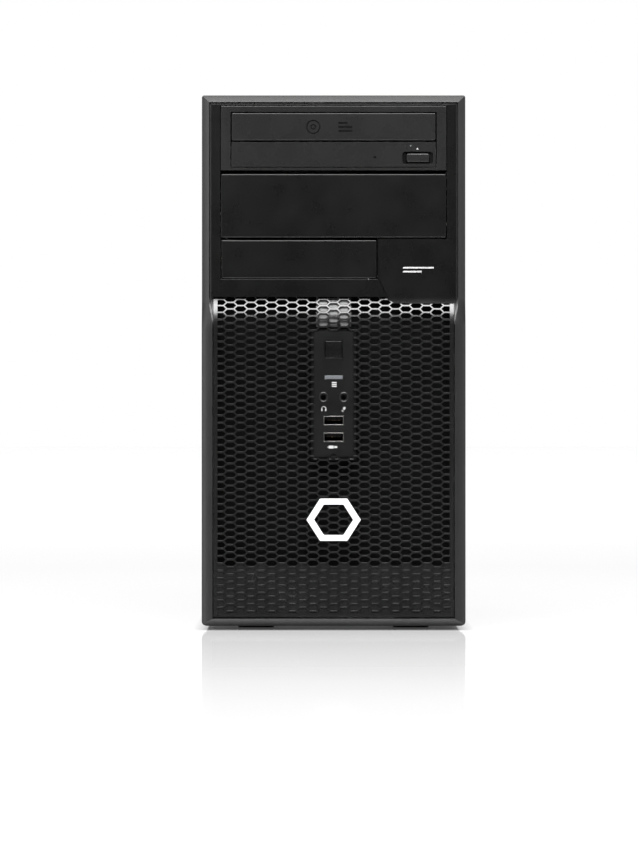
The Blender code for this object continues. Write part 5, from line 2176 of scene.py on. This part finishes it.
    def round_pair(self, level: float) -> None:
        """The keyboard and mouse sockets: round coloured faces with a wide bore.

        Args:
            level: Its middle in height, in millimetres.
        """
        self.housing("round_block", self.reach, (level - 8.5, level + 8.5), Finish.MATT)
        for name, x, finish in (("keyboard", 62.6, Finish.PURPLE), ("mouse", 47.6, Finish.GREEN)):
            self.round_socket(f"{name}_socket", x, level, 6.6, 4.4, finish)

    def display(self, level: float) -> None:
        """The display socket: a blue face in a metal rim with two threaded posts.

        Args:
            level: Its middle in height, in millimetres.
        """
        x = 60.6
        hollow = (x - 3.4, x + 3.4, level - 6.4, level + 6.4)
        self.housing("display_block", 20, (level - 15.5, level + 15.5), Finish.ZINC, [hollow])
        outline = [(x - 4.6, level - 8.2), (x + 4.6, level - 7.0)]
        outline += [(x + 4.6, level + 7.0), (x - 4.6, level + 8.2)]
        rim = Bench.prism("display_rim", outline, self.proud - 2, 2)
        Bench.finish(Bench.soften(rim, 0.7, 3), Finish.NICKEL)
        inner = [(x + (px - x) * 0.84, level + (pz - level) * 0.9) for px, pz in outline]
        face = Bench.prism("display_face", inner, self.proud - 1.5, 1.6)
        pins = Bench.cylinder("tool", (x - 2.4, self.proud, level - 5.4), 0.5, 2, Axis.Y, 8)
        moves = [(2.4 * row, 0, 2.6 * column) for row in range(3) for column in range(5) if row or column]
        Bench.cut(face, Bench.repeat(pins, moves))
        Bench.finish(face, Finish.BLUE)
        post = Bench.cylinder("display_posts", (x, self.proud - 1, level - 12), 2.7, 2, Axis.Y, 6)
        Bench.pick_faces(post, lambda centre, normal: normal.y > 0.9)
        Bench.inset(1.1)
        Bench.extrude((0, -1.6, 0))
        Bench.done()
        Bench.repeat(post, [(0, 0, 24)])
        Bench.finish(post, Finish.NICKEL)


@dataclass
class Fan:
    """A fan: rotor and, where it has one, a square frame. It is built along Y and then turned."""

    rotor_node: str
    centre: Point
    radius: float
    hub: float
    depth: float
    turn: float = 0.0
    frame_node: str = ""
    frame_centre: Point = (0, 0, 0)
    size: float = 92.0
    thick: float = 25.0
    bore: float = 44.0
    blades: int = 7

    def build(self) -> None:
        """Makes the fan."""
        self.rotor()
        if self.frame_node:
            self.housing()

    def set_down(self, obj: bpy.types.Object, centre: Point) -> None:
        """Turns a piece made about the origin and moves it to its place."""
        turn = Matrix.Rotation(math.radians(self.turn), 4, "Z")
        obj.data.transform(Matrix.Translation(Vector(centre) * MM) @ turn)

    def rotor(self) -> None:
        """The hub with its swept blades."""
        hub = Bench.cylinder("hub", (0, 0, 0), self.hub, self.depth, Axis.Y, 56)
        Bench.pick_faces(hub, lambda centre, normal: normal.y > 0.9)
        Bench.inset(self.hub * 0.3)
        Bench.inset(0.4, -0.4)
        Bench.done()
        pieces = [Bench.soften(hub, 1.0, 3)]
        for index in range(self.blades):
            Bench.clear()
            bpy.ops.mesh.primitive_grid_add(x_subdivisions=8, y_subdivisions=6, size=1)
            blade = Bench.name_and_settle("blade")
            for vert in blade.data.vertices:
                share, across = vert.co.x + 0.5, vert.co.y
                reach = self.hub - 1.2 + (self.radius - self.hub + 0.9) * share
                sweep = across * (0.8 - 0.16 * share) + 0.3 * share * share
                angle = 2 * math.pi * index / self.blades + sweep
                rise = -across * self.depth * (0.86 - 0.12 * share) + 2.2 * (0.25 - across * across)
                vert.co = Vector((math.cos(angle) * reach, rise, math.sin(angle) * reach)) * MM
            pieces.append(Bench.modify(blade, "SOLIDIFY", thickness=1.2 * MM, offset=0))
        rotor = Bench.merge(f"{self.rotor_node}_blades", pieces)
        self.set_down(rotor, self.centre)
        Bench.finish(rotor, Finish.MATT, body=self.rotor_node, replaced=[self.rotor_node])

    def housing(self) -> None:
        """The square frame with its bore, waist, screw holes, motor seat and struts."""
        half, end = self.size / 2, self.thick / 2
        case = Bench.cube(f"{self.frame_node}_case", (-half, -end, -half), (half, end, half))
        Bench.round_along(case, 1, 4)
        waist = Bench.cylinder("tool", (0, 0, 0), half * 1.5, self.thick - 8, Axis.Y, 64)
        Bench.cut(waist, Bench.cylinder("tool", (0, 0, 0), self.bore + 1.8, self.thick, Axis.Y, 64))
        Bench.cut(case, waist)
        Bench.cut(case, Bench.cylinder("tool", (0, 0, 0), self.bore, self.thick + 4, Axis.Y, 80))
        hole = Bench.cylinder("tool", (half - 4.8, 0, half - 4.8), 2.2, self.thick + 4, Axis.Y, 20)
        apart = self.size - 9.6
        Bench.cut(case, Bench.repeat(hole, [(-apart, 0, 0), (0, 0, -apart), (-apart, 0, -apart)]))
        Bench.soften(case, 0.35, 2, 50)
        seat = Bench.cylinder("seat", (0, end - 2.6, 0), self.hub + 1, 4.2, Axis.Y, 48)
        pieces = [case, Bench.soften(seat, 0.6, 2)]
        for angle in (35, 125, 215, 305):
            strut = Bench.cube("strut", (self.hub - 1, end - 4.2, -1.3), (self.bore + 0.8, end - 0.5, 1.3))
            Bench.soften(strut, 0.5, 2)
            strut.data.transform(Matrix.Rotation(math.radians(angle), 4, "Y"))
            pieces.append(strut)
        frame_piece = Bench.merge(f"{self.frame_node}_case", pieces)
        self.set_down(frame_piece, self.frame_centre)
        Bench.finish(frame_piece, Finish.MATT, replaced=[self.frame_node])


@dataclass
class Board:
    """The main board's parts, on the face that looks toward the removable panel."""

    face: float = 71.15
    fins: int = 27
    memory_chips: int = 8
    memory_contacts: int = 99

    def build(self) -> None:
        """Makes the board's parts."""
        Bench.refine("motherboard", "main_board", Finish.BOARD, 0.2)
        for index in (1, 2):
            Bench.refine(f"memory_socket_{index}", f"memory_holder_{index}", Finish.MATT, 0.25)
            self.memory(index)
        for node in ("pcie_x16_slot", "pcie_x1_slot"):
            Bench.refine(node, f"{node}_body", Finish.MATT, 0.25)
        self.cooler()
        self.capacitors()
        self.blocks()
        self.chips()
        self.screws()

    def block(
        self, y: float, z: float, wide: float, tall: float, height: float, edge: float = 0.3
    ) -> bpy.types.Object:
        """A softened box standing on the board, from its middle and its sizes."""
        low = (self.face - height, y - wide / 2, z - tall / 2)
        return Bench.soften(Bench.cube("block", low, (self.face, y + wide / 2, z + tall / 2)), edge, 2)

    def memory(self, index: int) -> None:
        """A memory module with eight chips and its edge contacts.

        Args:
            index: Which one it is, counted from 1.
        """
        node = f"memory_module_{index}"
        low, high = box_mm(node)
        Bench.refine(node, f"memory_board_{index}", Finish.BOARD, 0.15)
        chip_low = (low.x + 6, low.y - 1.0, low.z + 6)
        chip = Bench.cube(f"memory_chips_{index}", chip_low, (low.x + 18, low.y, low.z + 15.5))
        Bench.soften(chip, 0.2, 2)
        Bench.repeat(chip, [(0, 0, 15.9 * step) for step in range(1, self.memory_chips)])
        Bench.finish(chip, Finish.MATT)
        pad_low = (high.x - 4.2, low.y - 0.04, low.z + 2)
        pad = Bench.cube(f"memory_contacts_{index}", pad_low, (high.x - 0.5, low.y + 0.05, low.z + 2.8))
        Bench.repeat(pad, [(0, 0, 1.3 * step) for step in range(1, self.memory_contacts)])
        Bench.finish(pad, Finish.GOLD)

    def cooler(self) -> None:
        """The heatsink: a base on the processor and a stack of thin fins."""
        low, high = box_mm("cpu_heatsink")
        base_low = (high.x - 9, low.y + 8, low.z + 0.5)
        base = Bench.cube("base", base_low, (high.x - 5.7, high.y - 8, high.z - 0.5))
        core = Bench.cube("core", (high.x - 6.5, 74, 172), (high.x, 110, 208))
        fin = Bench.cube("fins", (low.x, low.y, low.z), (high.x - 5.7, high.y, low.z + 1.0))
        Bench.array(fin, self.fins, (0, 0, (high.z - low.z - 1.0) / (self.fins - 1)))
        pieces = [Bench.soften(fin, 0.15, 1), Bench.soften(base, 0.4, 2), Bench.soften(core, 0.4, 2)]
        sink = Bench.merge("cooler_sink", pieces)
        Bench.finish(sink, Finish.ALUMINIUM, replaced=["cpu_heatsink"])

    def capacitors(self) -> None:
        """The round capacitors beside the processor, with bright scored tops."""
        rows = [(166, 152 + 9.5 * step, 4.0, 10.5) for step in range(8)]
        rows += [(36 + 9.5 * step, 243, 3.2, 8.5) for step in range(8)]
        rows += [(-30, 60 + 12 * step, 3.2, 8.0) for step in range(6)] + [(110, 70, 3.2, 8), (98, 96, 3.2, 8)]
        cans = []
        for y, z, radius, height in rows:
            can = Bench.cylinder("can", (self.face - height / 2, y, z), radius, height, Axis.X, 24)
            Bench.pick_faces(can, lambda centre, normal: normal.x < -0.9)
            Bench.inset(0.35, 0.25)
            Bench.inset(0.3, -0.3)
            Bench.done()
            cans.append(can)
        group = Bench.merge("capacitors", cans)
        Bench.finish(group, Finish.SLEEVE)
        Bench.second_finish(group, Finish.ALUMINIUM, lambda centre, normal: normal.x < -0.6)

    def blocks(self) -> None:
        """The chokes, power and data connectors, headers and the chipset's sink."""
        chokes = [self.block(150, 156 + 12 * step, 9, 9, 7, 0.8) for step in range(6)]
        Bench.finish(Bench.merge("chokes", chokes), Finish.MATT)
        power = self.block(-38, 204, 10, 53, 12.5)
        pocket = Bench.cube("tool", (50, -41.6, 180.5), (self.face - 3, -38.4, 183.7))
        moves = [(0, 3.9 * row, 4.0 * step) for row in range(2) for step in range(12) if row or step]
        Bench.cut(power, Bench.repeat(pocket, moves))
        power = Bench.merge("power_socket", [power, self.block(160, 246, 10, 10, 12)])
        Bench.finish(power, Finish.NYLON)
        data = [self.block(y, z, 9, 16, 8.5) for y in (10, -4) for z in (60, 40)]
        Bench.finish(Bench.merge("data_sockets", data), Finish.BLUE)
        heads = [self.block(-38, 30, 6, 16, 8), self.block(40, 18, 30, 5, 8), self.block(90, 18, 14, 5, 8)]
        Bench.finish(Bench.merge("headers", heads), Finish.MATT)
        cell = Bench.cylinder("coin_cell", (self.face - 2.6, 100, 40), 10, 3.2, Axis.X, 48)
        Bench.finish(Bench.soften(cell, 0.7, 3), Finish.NICKEL)
        fins = self.block(30, 96, 34, 1.2, 12, 0.2)
        Bench.repeat(fins, [(0, 0, 3.4 * step) for step in range(1, 11)])
        sink = Bench.merge("chipset_sink", [fins, self.block(30, 113, 35, 36, 4)])
        Bench.finish(sink, Finish.ALUMINIUM)

    def chips(self) -> None:
        """The flat chips, and small parts scattered round them on a grid."""
        large = ((120, 34, 14, 14, 1.6), (166, 122, 9, 9, 1.2), (166, 78, 8, 8, 1.2))
        others = ((60, 40, 6, 5, 1.6), (-20, 100, 12, 12, 1.4))
        chips = [self.block(*row, 0.2) for row in (*large, *others)]
        chips += [self.block(141, 152 + 8 * step, 6, 5, 2.0, 0.2) for step in range(10)]
        Bench.finish(Bench.merge("flat_chips", chips), Finish.MATT)
        speck = self.block(12, 22, 1.6, 0.9, 0.6, 0.1)
        moves = []
        for column in range(26):
            for row in range(9):
                if (column * 7 + row * 5) % 4 == 0:
                    moves.append((0, 5.2 * column + (row % 3) * 0.9, 3.4 * row + (column % 2) * 1.3))
        small = Bench.repeat(speck, moves[1:])
        small.name = "small_parts"
        Bench.finish(small, Finish.PRINT)

    def screws(self) -> None:
        """The screws that hold the board."""
        low, high = box_mm("motherboard")
        spots = [(y, z) for y in (low.y + 6, 70, high.y - 30) for z in (low.z + 6, 137)]
        spots += [(low.y + 6, high.z - 6), (20, high.z - 5)]
        heads = []
        for y, z in spots:
            head = Bench.cylinder("head", (self.face - 0.9, y, z), 3.1, 1.8, Axis.X, 24)
            Bench.cut_box(head, (self.face - 3, y - 2, z - 0.4), (self.face - 1.2, y + 2, z + 0.4))
            heads.append(Bench.soften(head, 0.3, 2))
        Bench.finish(Bench.merge("board_screws", heads), Finish.NICKEL)


@dataclass
class Drives:
    """The drive cages, the disc drive's body and tray, and the hard disk."""

    disc: float = -132.5

    def build(self) -> None:
        """Makes the drives and their cages."""
        self.cage("drive_cage", "upper_cage", (-150, -50), (270, 296), 18.0)
        self.cage("hdd_cage", "lower_cage", (-150, -40), (214, 246), 16.0)
        plain = {"front_plate": "front_sheet", "motherboard_tray": "board_tray", "odd_housing": "drive_body"}
        for node, name in plain.items():
            Bench.refine(node, name, Finish.ZINC, 0.2)
        Bench.refine("front_io_board", "socket_board", Finish.BOARD, 0.15)
        self.hard_disk()
        self.tray()

    def cage(
        self, node: str, name: str, run: tuple[float, float], rise: tuple[float, float], pitch: float
    ) -> None:
        """A cage with rows of long openings through its side walls.

        Args:
            node: The node of the frame.
            name: The name of the piece.
            run: Where the openings start and end along y.
            rise: The lowest and highest row of openings, in z.
            pitch: The step from one opening to the next along y.
        """
        low, high = box_mm(node)
        cage = Bench.refine(node, name, Finish.ZINC, 0.0)
        slot_high = (high.x + 1, run[0] + pitch * 0.6, rise[0] + 5)
        slot = Bench.cube("tool", (low.x - 1, run[0], rise[0]), slot_high)
        moves = [
            (0, pitch * step, level)
            for step in range(int((run[1] - run[0]) / pitch))
            for level in (0, (rise[1] - rise[0]) / 2, rise[1] - rise[0])
            if step or level
        ]
        Bench.cut(cage, Bench.repeat(slot, moves))
        Bench.soften(cage, 0.2, 1)
        Bench.finish(cage, Finish.ZINC, replaced=[node])

    def hard_disk(self) -> None:
        """The hard disk: cast body, lid with its pressed ring, spindle cap and screws."""
        low, high = box_mm("hard_disk")
        Bench.refine("hard_disk", "disk_body", Finish.ALUMINIUM, 0.5)
        lid = Bench.cube("disk_lid", (low.x + 3, low.y + 3, high.z), (high.x - 3, high.y - 12, high.z + 0.9))
        Bench.round_along(lid, 2, 6, 5)
        middle = (low + high) / 2
        ring = Bench.cylinder("tool", (middle.x, low.y + 52, high.z + 1), 44, 0.8, Axis.Z, 64)
        Bench.cut(ring, Bench.cylinder("tool", (middle.x, low.y + 52, high.z + 1), 41, 4, Axis.Z, 64))
        Bench.cut(lid, ring)
        Bench.soften(lid, 0.2, 2)
        Bench.finish(lid, Finish.ZINC)
        rows = (low.y + 8, low.y + 66, high.y - 18)
        spots = [(middle.x, low.y + 52)] + [(middle.x + x, y) for x in (-42, 42) for y in rows]
        caps = [Bench.cylinder("cap", (x, y, high.z + 1.1), 3.2, 0.7, Axis.Z, 24) for x, y in spots]
        Bench.finish(Bench.soften(Bench.merge("disk_screws", caps), 0.2, 2), Finish.NICKEL)

    def tray(self) -> None:
        """The disc tray with its softened rims, and the turntable with its clip and rubber ring."""
        Bench.refine("odd_tray", "disc_tray", Finish.MATT, 0.3, "odd_tray")
        Bench.refine("odd_turntable", "disc_turntable", Finish.MATT, 0.3, "odd_turntable")
        top = box_mm("odd_turntable")[1].z
        ring = Bench.torus("grip_ring", (0, self.disc, top - 2.2), 11.5, 0.5, Axis.Z)
        Bench.finish(ring, Finish.RUBBER, body="odd_turntable")
        balls = []
        for step in range(3):
            angle = 2 * math.pi * step / 3
            spot = (math.cos(angle) * 5.6, self.disc + math.sin(angle) * 5.6, top - 1.1)
            balls.append(Bench.torus("clip", spot, 0.45, 0.4, Axis.Z, 16))
        Bench.finish(Bench.merge("disc_clips", balls), Finish.NICKEL, body="odd_turntable")


# Studio


@dataclass
class Studio:
    """The pale floor, the soft lights and the camera."""

    focal: float = 200.0
    distance: float = 3.128
    aim_x: float = -9.7
    aim_z: float = 135.8
    surround: float = 0.03
    floor_radius: float = 30.0
    floor_core: float = 6.0
    # The edges of the painted shadow under the tower, across and ahead, in metres.
    shadow_edge_beside: tuple[float, float] = (0.084, 0.094)
    shadow_edge_ahead: tuple[float, float] = (-0.2215, -0.2080)
    far_edge: tuple[float, float] = (1.2, 3.0)
    gloss_edge: tuple[float, float] = (-1.84, -0.2)
    floor_glow: float = 0.78
    floor_gloss: float = 0.47
    floor_roughness: float = 0.05
    top_power: float = 20.0
    strip_power: float = 58.0
    back_power: float = 16.0
    left_power: float = 6.5
    right_power: float = 0.9

    def build(self) -> None:
        """Sets up the studio."""
        self.floor()
        self.lights()
        self.camera()
        bpy.context.scene.view_settings.view_transform = "Standard"

    def floor(self) -> None:
        """A wide white floor with a faint mirror gloss, and a painted shadow where its glow drops under and
        behind the tower's footprint.
        """
        Bench.clear()
        bpy.ops.mesh.primitive_circle_add(vertices=96, radius=self.floor_radius, fill_type="NGON")
        ground = Bench.name_and_settle("studio_floor")
        Bench.pick_faces(ground, every_face)
        bpy.ops.mesh.inset(thickness=self.floor_radius - self.floor_core)
        Bench.done()
        sheet = Sheet("studio_white")
        cloud = sheet.spread(sheet.noise(2, 2), 0.0, 1.0)
        sheet.fill(sheet.shader.inputs["Base Color"], sheet.blend(cloud, rgba(0.16), rgba(0.18)))
        sheet.shader.inputs["Roughness"].default_value = 1.0
        sheet.shader.inputs["Specular IOR Level"].default_value = 0.0
        sheet.shader.inputs["Emission Color"].default_value = rgba(1.0)
        parts = sheet.add("ShaderNodeSeparateXYZ", Vector=sheet.place)
        seen = sheet.add("ShaderNodeLightPath").outputs["Is Camera Ray"]
        # Painted contact shadow: the glow seen by the camera drops to 0.1 under and behind the tower's
        # footprint, and fades back over about 10 mm beside it and 13 mm in front of it.
        across = sheet.add("ShaderNodeMath", Value=parts.outputs["X"])
        across.operation = "ABSOLUTE"
        beside = sheet.ramp(across.outputs[0], self.shadow_edge_beside, (0.0, 1.0))
        ahead = sheet.ramp(parts.outputs["Y"], self.shadow_edge_ahead, (1.0, 0.0))
        clear = sheet.join("MAXIMUM", beside, ahead)
        distance = sheet.add("ShaderNodeVectorMath", Vector=sheet.place)
        distance.operation = "LENGTH"
        far = sheet.ramp(distance.outputs["Value"], self.far_edge, (0.0, 1.05 - self.floor_glow))
        near = sheet.ramp(clear, (0.0, 1.0), (0.1, self.floor_glow))
        glow = sheet.join("MULTIPLY", sheet.join("ADD", near, far), seen)
        sheet.fill(sheet.shader.inputs["Emission Strength"], glow)
        gloss = sheet.add("ShaderNodeBsdfGlossy", Color=rgba(1.0), Roughness=self.floor_roughness)
        share = sheet.ramp(parts.outputs["Y"], self.gloss_edge, (0.0, self.floor_gloss))
        mix = sheet.tree.nodes.new("ShaderNodeMixShader")
        sheet.fill(mix.inputs[0], share)
        sheet.tree.links.new(sheet.shader.outputs[0], mix.inputs[1])
        sheet.tree.links.new(gloss.outputs[0], mix.inputs[2])
        sheet.tree.links.new(mix.outputs[0], sheet.tree.nodes["Material Output"].inputs["Surface"])
        ground.data.materials.append(sheet.material)

    def panel(self, name: str, place: Point, aim: Point, size: tuple[float, float], power: float) -> None:
        """A rectangular softbox.

        Args:
            name: The light's name.
            place: Where it hangs, in metres.
            aim: The point that it faces.
            size: Its width and height.
            power: Its power in watts.
        """
        data = bpy.data.lights.new(name, "AREA")
        data.shape = "RECTANGLE"
        data.size, data.size_y = size
        data.energy = power
        lamp = bpy.data.objects.new(name, data)
        lamp.location = place
        way = Vector(aim) - Vector(place)
        lamp.rotation_euler = way.to_track_quat("-Z", "Y").to_euler()
        bpy.context.scene.collection.objects.link(lamp)

    def lights(self) -> None:
        """Softboxes above, behind and at each side, in a dark surround with a white horizon."""
        boxes = (
            ("top_box", (0.0, -0.65, 1.7), (0, -0.25, 0.25), (1.7, 1.2), self.top_power),
            ("strip_box", (0.0, -1.25, 1.4), (0, -0.2, 0.22), (1.3, 0.8), self.strip_power),
            ("back_box", (-0.5, 1.45, 1.8), (0, 0.2, 0.2), (1.4, 0.8), self.back_power),
            ("left_box", (-1.7, -0.9, 0.7), (0, -0.2, 0.2), (0.7, 1.5), self.left_power),
            ("right_box", (1.8, -0.8, 0.7), (0, -0.2, 0.2), (0.6, 1.3), self.right_power),
        )
        for box in boxes:
            self.panel(*box)
        world = bpy.data.worlds.new("surround")
        world.use_nodes = True
        nodes = Nodes(world.node_tree)
        way = nodes.add("ShaderNodeSeparateXYZ", Vector=nodes.coordinates["Generated"])
        seen = nodes.add("ShaderNodeLightPath").outputs["Is Camera Ray"]
        low = nodes.ramp(way.outputs["Z"], (0.12, 0.25), (1.0, self.surround))
        side = nodes.ramp(way.outputs["Y"], (-0.75, -0.45), (0.0, 1.0))
        glow = nodes.join("MAXIMUM", nodes.join("MULTIPLY", low, side), self.surround)
        background = nodes.tree.nodes["Background"]
        nodes.fill(background.inputs["Strength"], nodes.join("MAXIMUM", glow, seen))
        background.inputs["Color"].default_value = rgba(1.0)
        bpy.context.scene.world = world

    def camera(self) -> None:
        """A long lens straight in front, level with the lower half of the tower."""
        data = bpy.data.cameras.new("camera")
        data.lens = self.focal
        data.clip_end = 30
        camera = bpy.data.objects.new("camera", data)
        front = box_mm("front_badge")[0].y * MM
        camera.location = (self.aim_x * MM, front - self.distance, self.aim_z * MM)
        camera.rotation_euler = (math.pi / 2, 0, 0)
        bpy.context.scene.collection.objects.link(camera)
        bpy.context.scene.camera = camera


def dress_frame() -> None:
    """Gives every CAD node that shows a finish, by its material slot in the record."""
    by_slot = {
        "black_satin": Finish.SATIN,
        "black_matt": Finish.MATT,
        "zinc_steel": Finish.ZINC,
        "painted_steel": Finish.PAINT,
        "bright_steel": Finish.NICKEL,
        "aluminium": Finish.ALUMINIUM,
        "board_green": Finish.BOARD,
        "white_plastic": Finish.WHITE,
        "light_lens": Finish.LENS,
        "rubber": Finish.RUBBER,
        "lead_black": Finish.SLEEVE,
        "lead_red": Finish.JACKET,
    }
    for row in frame["record"]["subparts"]:
        dress_node(row["node"], by_slot[row["material_slot"]])


def main() -> None:
    """Builds the studio and every sub-assembly, in order."""
    logging.basicConfig(level=logging.INFO, format="%(message)s")
    Studio().build()
    dress_frame()
    assemblies = (
        Bezel(),
        Grille(),
        DriveFront(),
        Cover("bay_cover_525", "large_cover"),
        Cover("bay_cover_35", "small_cover"),
        ConnectorPanel(),
        Badge(),
        Case(),
        Back(),
        PowerSupply(),
        RearPorts(),
        Fan("rear_fan_rotor", (-31, 183.2, 192), 42.5, 17, 18, 0, "rear_fan_frame", (-31, 186.2, 192)),
        Fan("psu_fan_rotor", (-28, 184.7, 305.5), 36.5, 15, 16),
        Fan("cpu_fan_rotor", (19.3, 92, 190), 39.5, 17, 14, 90, "cpu_fan_frame", (16.8, 92, 190), 88, 20, 41),
        Board(),
        Drives(),
    )
    for assembly in assemblies:
        assembly.build()


if __name__ == "__main__":
    main()
